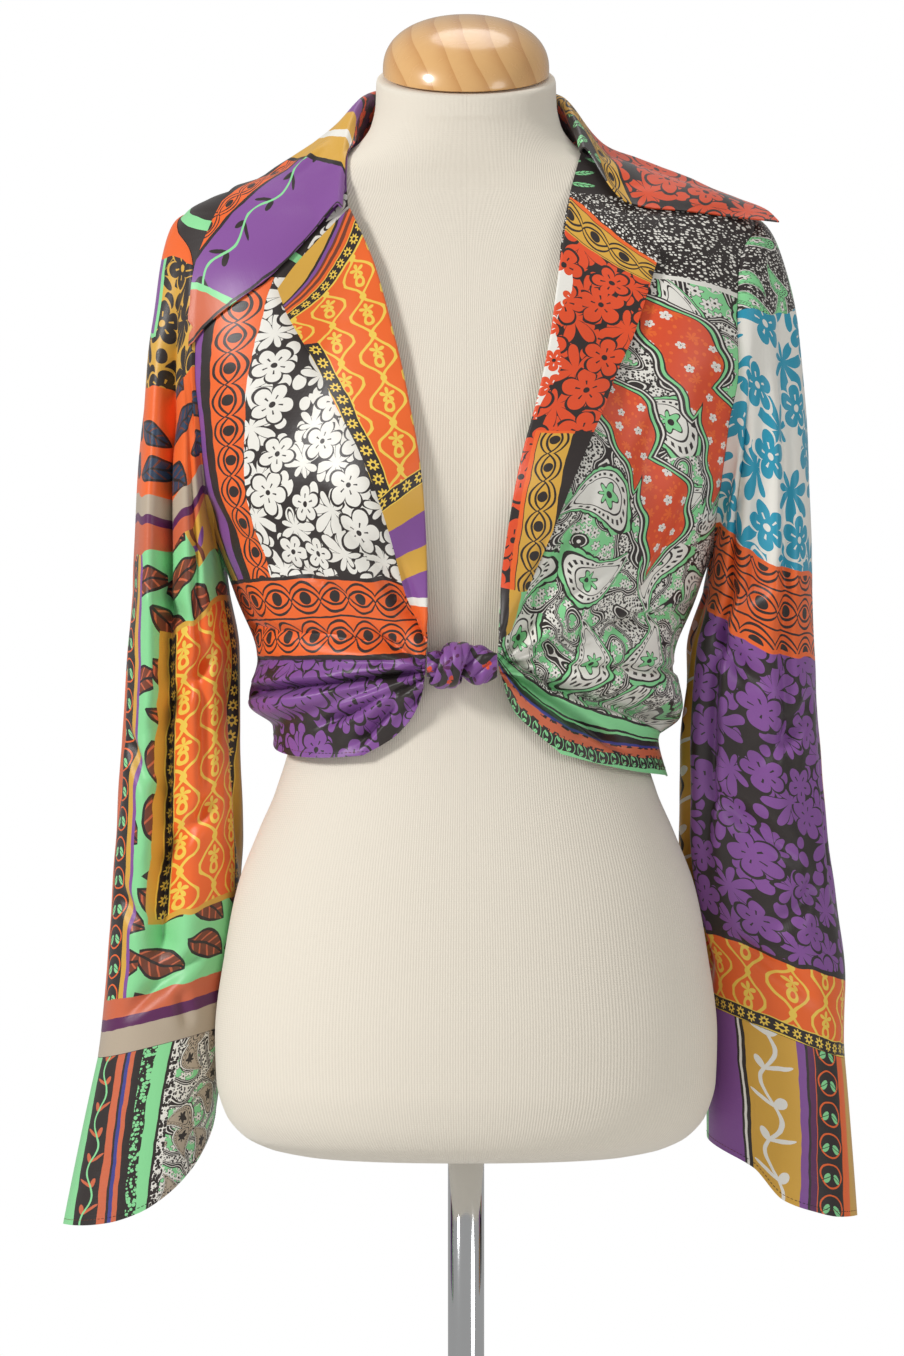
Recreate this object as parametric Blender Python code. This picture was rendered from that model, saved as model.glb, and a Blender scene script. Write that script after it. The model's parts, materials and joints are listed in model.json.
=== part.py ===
"""A cropped tie-front blouse with long sleeves, worn by a limbless dress form on a stand.

Lengths are in millimetres until a mesh is made, and heights are taken from a level just
below the torso's flat underside. X runs across the front, -Y is the front, and Z is up.
Left and right are the wearer's, so the wearer's right side is at -X. The origin is on the
floor, under the pole.
"""

import math
from collections import namedtuple

import bpy
import numpy as np
from mathutils.bvhtree import BVHTree

# Driving sizes
MM = 0.001
LEVEL = 507.0
TORSO_BOTTOM = 10.0
CLOTH = 1.4
SEAM_GAP = 0.4
KNOT_HEIGHT = 345.0
SHOULDER_END = 652.0
NECK_SIDE = 702.0
SQUARENESS = 2.2
NECK_SLANT = math.tan(math.radians(19))
NECK_SLANT_FROM, NECK_TOP, NECK_CENTRE_Y = 706.0, 748.0, 3.5
NECK_RIM = 4.0
BUST_HEIGHT, BUST_TURN, BUST_RISE = 458.0, math.radians(33), 15.0
BUST_TALL, BUST_WIDE = 46.0, math.radians(21)
CAP_RADIUS, CAP_HEIGHT, CAP_FOOT, CAP_SQUARENESS = 57.5, 40.0, 4.0, 2.3
POLE_RADIUS = 12.5
BASE_RADIUS, BASE_THICK, HUB_RADIUS, HUB_HEIGHT = 160.0, 9.0, 24.0, 26.0
BASE_ROUND, HUB_FLARE, HUB_TAPER = 1.5, 6.0, 3.0

# Grid sizes
ROWS, ARMHOLE_FROM = 25, 10
FRONT_COLUMNS, BACK_COLUMNS = 19, 25
SLEEVE_CAP_RINGS, SLEEVE_RINGS, CUFF_RINGS = 7, 10, 5
FORM_TURNS, CAP_TURNS, POLE_TURNS, BASE_TURNS = 32, 24, 24, 36
FORM_LEVELS = [
    *(TORSO_BOTTOM, 12, 16, 24, 38, 58),
    *np.linspace(84, 600, 14),
    *(618, 632, 644, 653, 660, 666, 671, 676, 682, 689, 697, 706, 716, 730),
]
LAPEL_ROWS, LAPEL_COLUMNS = 19, 5
COLLAR_STATIONS, STAND_COLUMNS = 33, 3
ROLL_RINGS, ROLL_TURNS = 12, 16
KNOT_RINGS, KNOT_TURNS = 20, 8


def smooth(at, xs, ys):
    """A curve through the points xs, ys that never overshoots them."""
    at = np.clip(np.asarray(at, float), xs[0], xs[-1])
    rise = np.diff(ys) / np.diff(xs)
    slope = np.zeros(len(xs))
    product = rise[:-1] * rise[1:]
    total = np.where(product > 0, rise[:-1] + rise[1:], 1.0)
    slope[1:-1] = np.where(product > 0, 2 * product / total, 0.0)
    slope[0], slope[-1] = rise[0], rise[-1]
    i = np.clip(np.searchsorted(xs, at) - 1, 0, len(xs) - 2)
    step = xs[i + 1] - xs[i]
    t = (at - xs[i]) / step
    rest = 1 - t
    return (
        ys[i] * (1 + 2 * t) * rest**2
        + ys[i + 1] * t**2 * (3 - 2 * t)
        + step * (slope[i] * t * rest**2 - slope[i + 1] * t**2 * rest)
    )


def ease_in(at, low, high):
    t = np.clip((at - low) / (high - low), 0, 1)
    return t * t * (3 - 2 * t)


class Table:
    """Rows of sizes under named columns, read smoothly by the first column."""

    def __init__(self, names, rows):
        self.columns = dict(zip(names.split(), np.array(rows, float).T))
        self.key = self.columns[names.split()[0]]

    def __call__(self, name, at):
        return smooth(at, self.key, self.columns[name])

    def spread(self, name, share):
        """The column read by its rows' own order, from 0 at the first to 1 at the last."""
        steps = np.linspace(0, 1, len(self.key))
        return smooth(share, steps, self.columns[name])


FORM = Table(
    "height half_width front back",
    [
        (10, 118, 72, 74),
        (14, 136, 87, 88),
        (23, 154, 99, 101),
        (38, 166, 107, 110),
        (60, 172, 112, 116),
        (92, 173, 113, 118),
        (150, 166, 109, 112),
        (192, 158, 104, 104),
        (232, 143, 97, 93),
        (260, 131, 92, 86),
        (300, 121, 88, 80),
        (340, 122, 91, 80),
        (400, 134, 101, 85),
        (460, 147, 110, 91),
        (515, 158, 105, 97),
        (560, 170, 92, 99),
        (600, 181, 78, 95),
        (625, 185, 67, 88),
        (640, 186, 60, 82),
        (652, 183, 55, 76),
        (662, 174, 52, 71),
        (670, 160, 50, 68),
        (678, 138, 50, 65),
        (687, 112, 51, 63),
        (696, 88, 52, 62),
        (706, 73, 53, 62),
        (718, 65.5, 54, 62),
        (733, 62.5, 55, 62),
        (748, 62, 55, 62),
    ],
)

# How far the cloth stands off the torso, by the turn from the front centre.
EASE_TURNS = np.radians([0, 45, 75, 90, 110, 135, 180])
EASE = Table(
    "height at_0 at_45 at_75 at_90 at_110 at_135 at_180",
    [
        (255, 7, 9, 10, 10, 10, 9, 8),
        (290, 9, 10, 11, 11, 11, 10, 9),
        (320, 9, 12, 14, 14, 14, 12, 11),
        (363, 7, 13, 18, 19, 18, 15, 13),
        (395, 6, 11, 22, 25, 23, 17, 13),
        (430, 5, 9, 27, 30, 27, 19, 12),
        (480, 5, 9, 34, 38, 33, 19, 10),
        (540, 5, 9, 35, 40, 33, 17, 9),
        (600, 5, 8, 27, 33, 27, 14, 8),
        (640, 5, 7, 14, 19, 16, 10, 6),
        (662, 3, 4, 5, 6, 6, 5, 4),
        (676, 1.7, 1.7, 1.7, 1.7, 1.7, 1.8, 2),
        (715, 1.6, 1.6, 1.6, 1.6, 1.6, 1.6, 1.6),
    ],
)

LEAST_LIFT = 1.6

# The swell of cloth round the knot, on the front.
KNOT_SWELL, KNOT_SWELL_WIDE, KNOT_SWELL_TALL = 9.0, 42.0, 34.0

# The crease that the tie draws across the waist, under which the hem hangs.
WAIST_CREASE = Table(
    "turn height",
    [
        (-180, 302),
        (-95, 305),
        (-60, 309),
        (-32, 315),
        (-18, 332),
        (-10, 346),
        (8, 350),
        (22, 345),
        (44, 329),
        (75, 312),
        (95, 298),
        (180, 302),
    ],
)
# Above the crease the cloth swells out over it, least at the centre front.
SWELL_RISE, SWELL_HEIGHT, SWELL_REACH, SWELL_AT_FRONT = 14.0, 13.0, 27.0, 0.35
SWELL_FROM, SWELL_TO = math.radians(10), math.radians(70)

# Gathers spread in rays from each side of the knot.
GATHER_RAYS, GATHER_DEPTH, GATHER_FROM = 9.0, 2.4, 16.0
GATHER_START, GATHER_FULL, GATHER_REACH = 26.0, 40.0, 105.0

# Each row is one section of a front, from its free edge to the side seam or armhole.
SECTION_NAMES = "number edge_x edge_height side_turn side_height sag"
RIGHT_FRONT = Table(
    SECTION_NAMES,
    [
        (0, 66, 284, 90, 291, -6),
        (1, 46, 298, 90, 296, -5),
        (2, 32, 317, 90, 304, -2),
        (3, 26.5, 337, 90, 315, -4),
        (4, 25.5, 348, 90, 338, -5),
        (5, 25, 360, 90, 370, -3),
        (6, 26.5, 397, 90, 420, -3),
        (7, 28.5, 436, 81, 447, -2),
        (8, 33, 484, 76.5, 486, 0),
        (9, 42, 538, 75, 528, 0),
        (10, 50, 571, 75.5, 566, 0),
        (11, 58, 602, 77.5, 600, 0),
        (12, 70, 631, 81, 626, 0),
        (13, 79, 652, 85, 640, 0),
        (14, 81, 676, 88, 648, 0),
        (15, 80, 702, 90, 652, 0),
    ],
)
LEFT_FRONT = Table(
    SECTION_NAMES,
    [
        (0, 60, 285, 90, 266, -4),
        (1, 44, 301, 90, 282, -4),
        (2, 30, 317, 90, 298, -2),
        (3, 23, 336, 90, 312, -4),
        (4, 20, 348, 90, 338, -5),
        (5, 19.5, 360, 90, 370, -3),
        (6, 22.5, 398, 90, 420, -3),
        (7, 28.5, 436, 81, 447, -2),
        (8, 38, 484, 76.5, 486, 0),
        (9, 50, 535, 75, 528, 0),
        (10, 56, 567, 75.5, 566, 0),
        (11, 60, 599, 77.5, 600, 0),
        (12, 63.5, 630, 81, 626, 0),
        (13, 69, 661, 85, 640, 0),
        (14, 76, 688, 88, 648, 0),
        (15, 80, 702, 90, 652, 0),
    ],
)
# The back's sections share the side heights of the fronts' rows.
BACK = Table(
    "number centre_height side_turn",
    [
        (0, 274, 90),
        (1, 284, 90),
        (2, 300, 90),
        (3, 312, 90),
        (4, 336, 90),
        (5, 368, 90),
        (6, 414, 90),
        (7, 446, 99),
        (8, 484, 104),
        (9, 528, 106),
        (10, 566, 105.5),
        (11, 600, 103.5),
        (12, 632, 100),
        (13, 662, 96),
        (14, 682, 92.5),
        (15, 698, 90),
    ],
)
NECK_SHARE = 0.44
UNDERARM_SECTION, LAST_SECTION = 6, 15
SHOULDER_CROWDING = 1.25

# Soft folds: a trough from one place to another, seen from the front or the back.
Fold = namedtuple("Fold", "from_x from_height to_x to_height width depth")
FRONT_FOLDS = [
    Fold(172, 556, 163, 452, 9, 6),
    Fold(163, 452, 132, 372, 11, 5),
    Fold(146, 540, 138, 440, 11, 5),
    Fold(138, 440, 92, 372, 12, 4),
    Fold(30, 352, 96, 392, 7, 3.5),
    Fold(28, 356, 70, 432, 7, 3),
    Fold(30, 346, 112, 348, 7, 3),
    Fold(-176, 500, -158, 436, 10, 6),
    Fold(-158, 436, -120, 368, 10, 4),
    Fold(-34, 354, -92, 398, 7, 3),
    Fold(-34, 346, -118, 346, 7, 3),
    Fold(-33, 362, -60, 430, 7, 2.5),
]
BACK_FOLDS = [
    Fold(-140, 520, -120, 360, 14, 6),
    Fold(138, 510, 112, 350, 14, 6),
    Fold(-60, 470, -52, 330, 15, 4),
    Fold(20, 440, 16, 320, 13, 4),
    Fold(76, 500, 70, 330, 15, 4.5),
]

LAPEL_NAMES = "number fold_x fold_height edge_x edge_height"
RIGHT_LAPEL = Table(
    LAPEL_NAMES,
    [
        (0, 26.5, 368, 31, 372),
        (1, 27.5, 397, 40, 396),
        (2, 29.5, 436, 50, 434),
        (3, 34, 484, 66, 478),
        (4, 43, 538, 88, 528),
        (5, 51, 571, 103, 558),
        (6, 62, 610, 113, 578),
        (7, 79, 651, 118, 592),
    ],
)
LEFT_LAPEL = Table(
    LAPEL_NAMES,
    [
        (0, 21.5, 368, 27, 371),
        (1, 24, 402, 40, 400),
        (2, 30, 438, 56, 438),
        (3, 39, 484, 74, 482),
        (4, 51, 535, 92, 530),
        (5, 57, 567, 104, 560),
        (6, 62, 602, 113, 587),
        (7, 71, 660, 123, 617),
    ],
)
LAPEL_LIFT, LAPEL_SPRING = CLOTH + SEAM_GAP, 3.6

# Stations of the collar from the centre back to its points: the seam, the fold at the top
# of the stand, the middle of the fall and its free edge.
COLLAR_NAMES = """
    number seam_turn seam_height fold_x fold_y fold_height
    middle_x middle_y middle_height edge_x edge_y edge_height
"""
RIGHT_COLLAR = Table(
    COLLAR_NAMES,
    [
        (0, 180, 705, 0, 74, 747, 0, 91, 712, 0, 100, 672),
        (1, 140, 705, 32, 68, 748, 44, 87, 711, 58, 100, 668),
        (2, 115, 706, 56, 44, 747, 78, 62, 707, 110, 76, 669),
        (3, 95, 706, 72, 14, 738, 96, 18, 710, 140, 24, 684),
        (4, 76, 702, 81, -14, 714, 110, -20, 694, 160, -22, 658),
        (5, 64, 680, 85, -42, 685, 118, -48, 660, 176, -44, 613),
        (6, 59, 654, 87, -65, 656, 127, -74, 608, 187, -62, 561),
    ],
)
LEFT_COLLAR = Table(
    COLLAR_NAMES,
    [
        (0, 180, 705, 0, 74, 747, 0, 91, 712, 0, 100, 672),
        (1, 140, 705, 32, 68, 748, 44, 87, 711, 60, 100, 668),
        (2, 115, 706, 55, 46, 746, 80, 62, 707, 118, 80, 671),
        (3, 96, 706, 68, 18, 738, 92, 22, 709, 166, 40, 677),
        (4, 82, 704, 74, -6, 723, 99, -14, 695, 192, 8, 667),
        (5, 74, 699, 78, -24, 709, 107, -36, 677, 207, -12, 658),
        (6, 68, 690, 80, -42, 697, 112, -56, 658, 214, -26, 649),
    ],
)
SEAM_LIFT = CLOTH + SEAM_GAP
FOLD_RADIUS = 2.6
COLLAR_CLEAR, LAPEL_CLEAR, BESIDE = 3.0, 2.3, 6.0
SETTLING_PASSES = 3
FORM_CLEAR = CLOTH / 2 + 0.6

# Sleeve sections below the underarm.
SLEEVE_NAMES = "height outer inner centre_y half_depth slope"
RIGHT_SLEEVE = Table(
    SLEEVE_NAMES,
    [
        (84, 257, 168, 46, 48, 0.26),
        (110, 253, 167, 46, 50, 0.12),
        (170, 248, 159, 42, 51, 0),
        (232, 243, 157, 32, 52, 0),
        (294, 238, 157, 20, 53, 0),
        (356, 234, 158, 10, 54, 0),
        (396, 230, 164, 4, 54, 0),
    ],
)
LEFT_SLEEVE = Table(
    SLEEVE_NAMES,
    [
        (91, 265, 169, 46, 48, 0.4),
        (125, 265, 169, 46, 50, 0.2),
        (170, 260, 158, 42, 51, 0),
        (232, 251, 150, 32, 52, 0),
        (294, 245, 150, 20, 53, 0),
        (356, 240, 153, 10, 54, 0),
        (396, 238, 165, 4, 54, 0),
    ],
)
SLEEVE_SQUARE = 0.82

# How a sleeve leaves its armhole: its spread and drop against its way outwards, and how far
# it keeps that way, as a share of the way to the underarm's ring.
CAP_SPREAD, CAP_DROP = 0.25, 0.35
RIGHT_CAP_PULL, LEFT_CAP_PULL, LEAST_PULL, CAP_FALL = 0.2, 0.42, 14.0, 0.9

# Long folds down a sleeve: the turn round it from its outer side to its front.
SleeveFold = namedtuple("SleeveFold", "turn top bottom width depth")
RIGHT_SLEEVE_FOLDS = [
    SleeveFold(84, 470, 130, 12, 14),
    SleeveFold(150, 400, 200, 16, 4),
    SleeveFold(-70, 440, 180, 18, 6),
    SleeveFold(20, 560, 380, 18, 4),
]
LEFT_SLEEVE_FOLDS = [
    SleeveFold(100, 440, 150, 14, 4),
    SleeveFold(164, 380, 130, 11, 12),
    SleeveFold(-80, 430, 170, 18, 6),
    SleeveFold(45, 300, 130, 18, 3),
]

# The cuff's lower edge: how low it hangs by the turn round it from its outer side.
CUFF_EDGE = Table(
    "turn right_height left_height",
    [
        (0, -43, -37),
        (35, -41, -35),
        (60, -38, -30),
        (85, -31, -22),
        (110, -18, 0),
        (134, -2, 8),
        (155, 16, 13),
        (180, 33, 17),
    ],
)
# How much wider a cuff's lower edge is at its outer side, inner side, front and back.
Flare = namedtuple("Flare", "outer inner depth")
RIGHT_CUFF_FLARE, LEFT_CUFF_FLARE = Flare(26, 8, 6), Flare(10, 0, 6)
CUFF_SLIT, CUFF_SLIT_TOP = math.radians(17), 0.06
CUFF_TOP_GAP = 1.2

# The knot's parts, along X from the right front's gathers to the left front's.
ROLL = Table(
    "x half_height half_depth",
    [
        (-26.3, 7.5, 5),
        (-21, 8.5, 6.5),
        (-14, 7, 6),
        (-6, 7, 6),
        (2, 11, 8.5),
        (10, 12.5, 9.5),
        (16, 9.5, 7.5),
        (20.3, 7.5, 5.5),
    ],
)
ROLL_Y, ROLL_RAISED = -109.0, 1.0
PLEATS, PLEAT_DEPTH, PLEAT_TWIST = 3, 0.07, 0.12
KNOT_X, KNOT_WIDE, KNOT_THICK, KNOT_TILT = -10.5, 15.0, 7.0, 3.5
KNOT_INNER_Y, KNOT_INNER_HEIGHT = 7.6, 8.6
KNOT_WIDER_AT_BACK, KNOT_THINNER_AT_FRONT, KNOT_THIN_TURN = 0.12, 0.22, 0.4


def form_point(turn, height):
    """A point of the torso's skin, at a turn from the front centre towards +X."""
    across, along = np.sin(turn), np.cos(turn)
    depth = np.where(along > 0, FORM("front", height), FORM("back", height))
    radius = (
        (np.abs(across) / FORM("half_width", height)) ** SQUARENESS
        + (np.abs(along) / depth) ** SQUARENESS
    ) ** (-1 / SQUARENESS)
    from_apex = (np.abs(turn) - BUST_TURN) / BUST_WIDE
    below = (height - BUST_HEIGHT) / BUST_TALL
    radius = radius + BUST_RISE * np.exp(-(from_apex**2) - below**2)
    y = -radius * along
    tilt = NECK_SLANT * ease_in(height, NECK_SLANT_FROM, NECK_TOP) * (y - NECK_CENTRE_Y)
    return np.stack(np.broadcast_arrays(radius * across, y, height + tilt), axis=-1)


def unit(v):
    return v / np.maximum(np.linalg.norm(v, axis=-1, keepdims=True), 1e-9)


def form_normal(turn, height):
    around = form_point(turn + 0.01, height) - form_point(turn - 0.01, height)
    upward = form_point(turn, height + 0.8) - form_point(turn, height - 0.8)
    return unit(np.cross(around, upward))


def trough(away):
    """A fold's section: 1 in its middle, just under 0 beside it, where a ridge stands."""
    return (1 - 0.8 * away**2) * np.exp(-(away**2))


def folds(x, height, rows):
    """The sum of soft troughs, each with low ridges beside it and faded at its ends."""
    total = np.zeros(np.broadcast(x, height).shape)
    for row in rows:
        run = np.array([row.to_x - row.from_x, row.to_height - row.from_height])
        offset = np.stack([x - row.from_x, height - row.from_height], axis=-1)
        share = (offset @ run) / (run @ run)
        away = (offset[..., 0] * run[1] - offset[..., 1] * run[0]) / math.hypot(*run)
        ends = ease_in(share, -0.15, 0.25) * ease_in(share, 1.15, 0.75)
        total = total - row.depth * trough(away / row.width) * ends
    return total


def gathers(base):
    """Ridges that spread from each side of the knot over the fronts, in rays."""
    x, y, height = base[..., 0], base[..., 1], base[..., 2]
    out = np.abs(x) - GATHER_FROM
    reach = np.hypot(out, height - KNOT_HEIGHT)
    ray = np.arctan2(height - KNOT_HEIGHT, out)
    fade = ease_in(reach, 0, GATHER_START) * ease_in(reach, GATHER_REACH, GATHER_FULL)
    fade = fade * ease_in(-y, 0, GATHER_FULL)
    return GATHER_DEPTH * np.cos(ray * GATHER_RAYS + 0.6 * np.sign(x)) * fade


def body_lift(turn, height):
    """How far the cloth's middle stands off the torso."""
    knots = [EASE(f"at_{round(math.degrees(k))}", height) for k in EASE_TURNS]
    away = np.abs((turn + math.pi) % (2 * math.pi) - math.pi)
    lift = np.zeros(np.broadcast(turn, height).shape)
    for k in range(len(EASE_TURNS) - 1):
        low, high = EASE_TURNS[k], EASE_TURNS[k + 1]
        inside = (away >= low) & (away <= high)
        share = ease_in(away, low, high)
        lift = np.where(inside, knots[k] * (1 - share) + knots[k + 1] * share, lift)
    signed = np.degrees((turn + math.pi) % (2 * math.pi) - math.pi)
    above = height - WAIST_CREASE("height", signed)
    swell = SWELL_RISE * ease_in(above, -2, SWELL_HEIGHT)
    swell = swell * np.exp(-((np.maximum(above - SWELL_HEIGHT, 0) / SWELL_REACH) ** 2))
    to_side = ease_in(away, SWELL_FROM, SWELL_TO)
    swell = swell * (SWELL_AT_FRONT + (1 - SWELL_AT_FRONT) * to_side)
    base = form_point(turn, height)
    in_front = np.cos(turn) > 0
    aside, over = np.abs(base[..., 0]) / KNOT_SWELL_WIDE, (height - KNOT_HEIGHT) / KNOT_SWELL_TALL
    knot = np.where(in_front, KNOT_SWELL * np.exp(-(aside**2) - over**2), 0.0)
    soft = np.where(
        in_front,
        folds(base[..., 0], height, FRONT_FOLDS),
        folds(base[..., 0], height, BACK_FOLDS),
    )
    soft = soft * ease_in(np.abs(np.cos(turn)), 0.0, 0.2)
    return np.maximum(lift + swell + knot + soft + gathers(base), LEAST_LIFT)


def cloth_point(turn, height, more=0.0):
    lift = (body_lift(turn, height) + more)[..., None]
    return form_point(turn, height) + form_normal(turn, height) * lift


def turn_at(x, height):
    """The turn where the torso's skin is x millimetres from the centre."""
    low = np.zeros(np.broadcast(x, height).shape)
    high = low + math.pi / 2
    for _ in range(20):
        turn = (low + high) / 2
        short = form_point(turn, height)[..., 0] < x
        low, high = np.where(short, turn, low), np.where(short, high, turn)
    return (low + high) / 2


# The shoulder is nearly level, so rows are spaced by the length of the side's outline.
FINE_HEIGHTS = np.linspace(250, 720, 941)
SIDE_LENGTH = np.concatenate(
    [[0], np.cumsum(np.hypot(np.diff(FINE_HEIGHTS), np.diff(FORM("half_width", FINE_HEIGHTS))))]
)


def to_length(height):
    return np.interp(height, FINE_HEIGHTS, SIDE_LENGTH)


def to_height(length):
    return np.interp(length, SIDE_LENGTH, FINE_HEIGHTS)


def row_shares():
    """Row positions, closest at the shoulder. The underarm falls on row ARMHOLE_FROM."""
    underarm = UNDERARM_SECTION / LAST_SECTION
    low = np.linspace(0, underarm, ARMHOLE_FROM + 1)
    step = np.linspace(0, 1, ROWS - ARMHOLE_FROM)[1:]
    high = 1 - (1 - underarm) * (1 - step) ** SHOULDER_CROWDING
    return np.concatenate([low, high])


def front_places(table):
    """(turn, height) of a front's grid, row by row from the hem to the shoulder seam."""
    v = row_shares()[:, None]
    u = np.linspace(0, 1, FRONT_COLUMNS)[None, :]
    edge_turn = turn_at(table.spread("edge_x", v), table.spread("edge_height", v))
    side_turn = np.radians(table.spread("side_turn", v))
    turn = edge_turn + (side_turn - edge_turn) * u
    low = to_length(table.spread("edge_height", v))
    high = to_length(table.spread("side_height", v))
    length = low + (high - low) * u + table.spread("sag", v) * np.sin(math.pi * u)
    return turn, to_height(length)


def back_places():
    """(turn, height) of the back's grid, from the wearer's left side round to the right."""
    v = row_shares()[:, None]
    u = np.linspace(-1, 1, BACK_COLUMNS)[None, :]
    side_turn = np.radians(BACK.spread("side_turn", v))
    turn = math.pi + (math.pi - side_turn) * u
    left = to_length(LEFT_FRONT.spread("side_height", v))
    right = to_length(RIGHT_FRONT.spread("side_height", v))
    centre = to_length(BACK.spread("centre_height", v))
    side = np.where(u < 0, left, right)
    length = centre + (side - centre) * u**2
    # The top row follows the shoulder seams and then the neckline.
    reach = np.abs(u)
    on_neck = reach < NECK_SHARE
    neck_turn = np.sign(u) * math.pi / 2 * np.where(on_neck, reach / NECK_SHARE, 1.0)
    seam_share = (reach - NECK_SHARE) / (1 - NECK_SHARE)
    neck_side, shoulder = to_length(NECK_SIDE), to_length(SHOULDER_END)
    neck_back = to_length(BACK.columns["centre_height"][-1])
    neck_length = np.where(
        on_neck,
        neck_back + (neck_side - neck_back) * (reach / NECK_SHARE) ** 2,
        neck_side + (shoulder - neck_side) * seam_share,
    )
    top = ease_in(v, 0.62, 1.0)
    turn = turn * (1 - top) + (math.pi + neck_turn) * top
    length = length * (1 - top) + neck_length * top
    return turn, to_height(length)


def pulled_in(grid, by):
    """The grid with its border moved towards its own inside, to leave a seam's gap."""
    grid = grid.copy()
    for at, inner, axis in ((0, 1, 1), (-1, -2, 1), (0, 1, 0), (-1, -2, 0)):
        view = np.swapaxes(grid, 0, axis)
        view[at] = view[at] + unit(view[inner] - view[at]) * by
    return grid


def grid_normals(grid, closed):
    """A normal for each point of a grid whose columns may run round a tube."""
    if closed:
        padded = np.concatenate([grid[:, -1:], grid, grid[:, :1]], axis=1)
        across = padded[:, 2:] - padded[:, :-2]
    else:
        across = np.gradient(grid, axis=1)
    return unit(np.cross(across, np.gradient(grid, axis=0)))


def grid_faces(rows, columns, closed):
    """The quads between a grid's points, row by row; closed joins the last column to the first."""
    faces = []
    for r in range(rows - 1):
        for c in range(columns if closed else columns - 1):
            a, b = r * columns + c, r * columns + (c + 1) % columns
            faces.append((a, b, b + columns, a + columns))
    return faces


def mesh_object(name, points, faces, material):
    mesh = bpy.data.meshes.new(name)
    mesh.from_pydata((np.asarray(points) * MM).tolist(), [], faces)
    mesh.validate()
    mesh.shade_smooth()
    mesh.materials.append(material)
    thing = bpy.data.objects.new(name, mesh)
    bpy.context.scene.collection.objects.link(thing)
    thing.location = (0, 0, LEVEL * MM)
    return thing


def wall(name, grid, material, closed=False, outward=1.0):
    """A closed wall round a grid of middle points; outward turns its faces round."""
    rows, columns = grid.shape[:2]
    normals = grid_normals(grid, closed) * outward
    outer = (grid + normals * CLOTH / 2).reshape(-1, 3)
    inner = (grid - normals * CLOTH / 2).reshape(-1, 3)
    count = rows * columns
    faces = grid_faces(rows, columns, closed)
    faces += [tuple(count + k for k in reversed(face)) for face in faces]
    for r in (0, rows - 1):
        for c in range(columns if closed else columns - 1):
            a, b = r * columns + c, r * columns + (c + 1) % columns
            edge = (b, a, count + a, count + b)
            faces.append(edge if r == 0 else edge[::-1])
    if not closed:
        for c in (0, columns - 1):
            for r in range(rows - 1):
                a, b = r * columns + c, (r + 1) * columns + c
                edge = (b, a, count + a, count + b)
                faces.append(edge[::-1] if c == 0 else edge)
    if outward < 0:
        faces = [face[::-1] for face in faces]
    return mesh_object(name, np.concatenate([outer, inner]), faces, material)


def skin(name, rings, material):
    """A closed solid through rings of points, with flat ends."""
    rings = np.asarray(rings)
    rows, columns = rings.shape[:2]
    faces = [tuple(reversed(range(columns))), tuple(range((rows - 1) * columns, rows * columns))]
    faces += grid_faces(rows, columns, True)
    return mesh_object(name, rings.reshape(-1, 3), faces, material)


def surface(layers):
    """A searchable surface through the middles of some walls, and the side each faces."""
    points, faces, signs = [], [], []
    for grid, sign, closed in layers:
        quads = grid_faces(*grid.shape[:2], closed)
        faces += [[len(points) + k for k in quad] for quad in quads]
        signs += [sign] * len(quads)
        points += grid.reshape(-1, 3).tolist()
    return BVHTree.FromPolygons(points, faces), signs


def clear_of(points, layers, gap):
    """Points moved out from the nearest surface until they are clear of it."""
    tree, signs = surface(layers)
    flat = points.reshape(-1, 3).copy()
    for _ in range(3):
        for i, point in enumerate(flat):
            place, normal, face, distance = tree.find_nearest(point)
            normal = np.array(normal) * signs[face]
            depth = (point - np.array(place)) @ normal
            beside = math.sqrt(max(distance**2 - depth**2, 0))
            share = math.exp(-((beside / BESIDE) ** 2))
            if depth < gap:
                flat[i] = point + normal * (gap - depth) * share
    return flat.reshape(points.shape)


def settled(grid, layers, gap):
    """A grid whose points, and the middles of the lines between them, are clear of layers."""
    grid = clear_of(grid, layers, gap)
    pairs = [
        (grid[1:], grid[:-1]),
        (grid[:, 1:], grid[:, :-1]),
        (grid[1:, 1:], grid[:-1, :-1]),
        (grid[1:, :-1], grid[:-1, 1:]),
    ]
    for _ in range(SETTLING_PASSES):
        for one, other in pairs:
            middles = (one + other) / 2
            push = clear_of(middles, layers, gap) - middles
            one += push
            other += push
    return grid


def front_grid(table, side):
    """A front's middle points; side is +1 for the wearer's left front and -1 for the right."""
    turn, height = front_places(table)
    return cloth_point(turn * side, height)


def lapel_grid(table, side):
    """A lapel, turned back over its front: the front's own surface, moved out."""
    v = np.linspace(0, 1, LAPEL_ROWS)[:, None]
    u = np.linspace(0.02, 1, LAPEL_COLUMNS)[None, :]
    fold_height, edge_height = table.spread("fold_height", v), table.spread("edge_height", v)
    fold = turn_at(table.spread("fold_x", v), fold_height)
    edge = turn_at(table.spread("edge_x", v), edge_height)
    turn = fold + (edge - fold) * u
    fold_length, edge_length = to_length(fold_height), to_length(edge_height)
    height = to_height(fold_length + (edge_length - fold_length) * u)
    more = LAPEL_LIFT + LAPEL_SPRING * u * ease_in(v, 0, 0.5)
    return cloth_point(turn * side, height, more)


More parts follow.
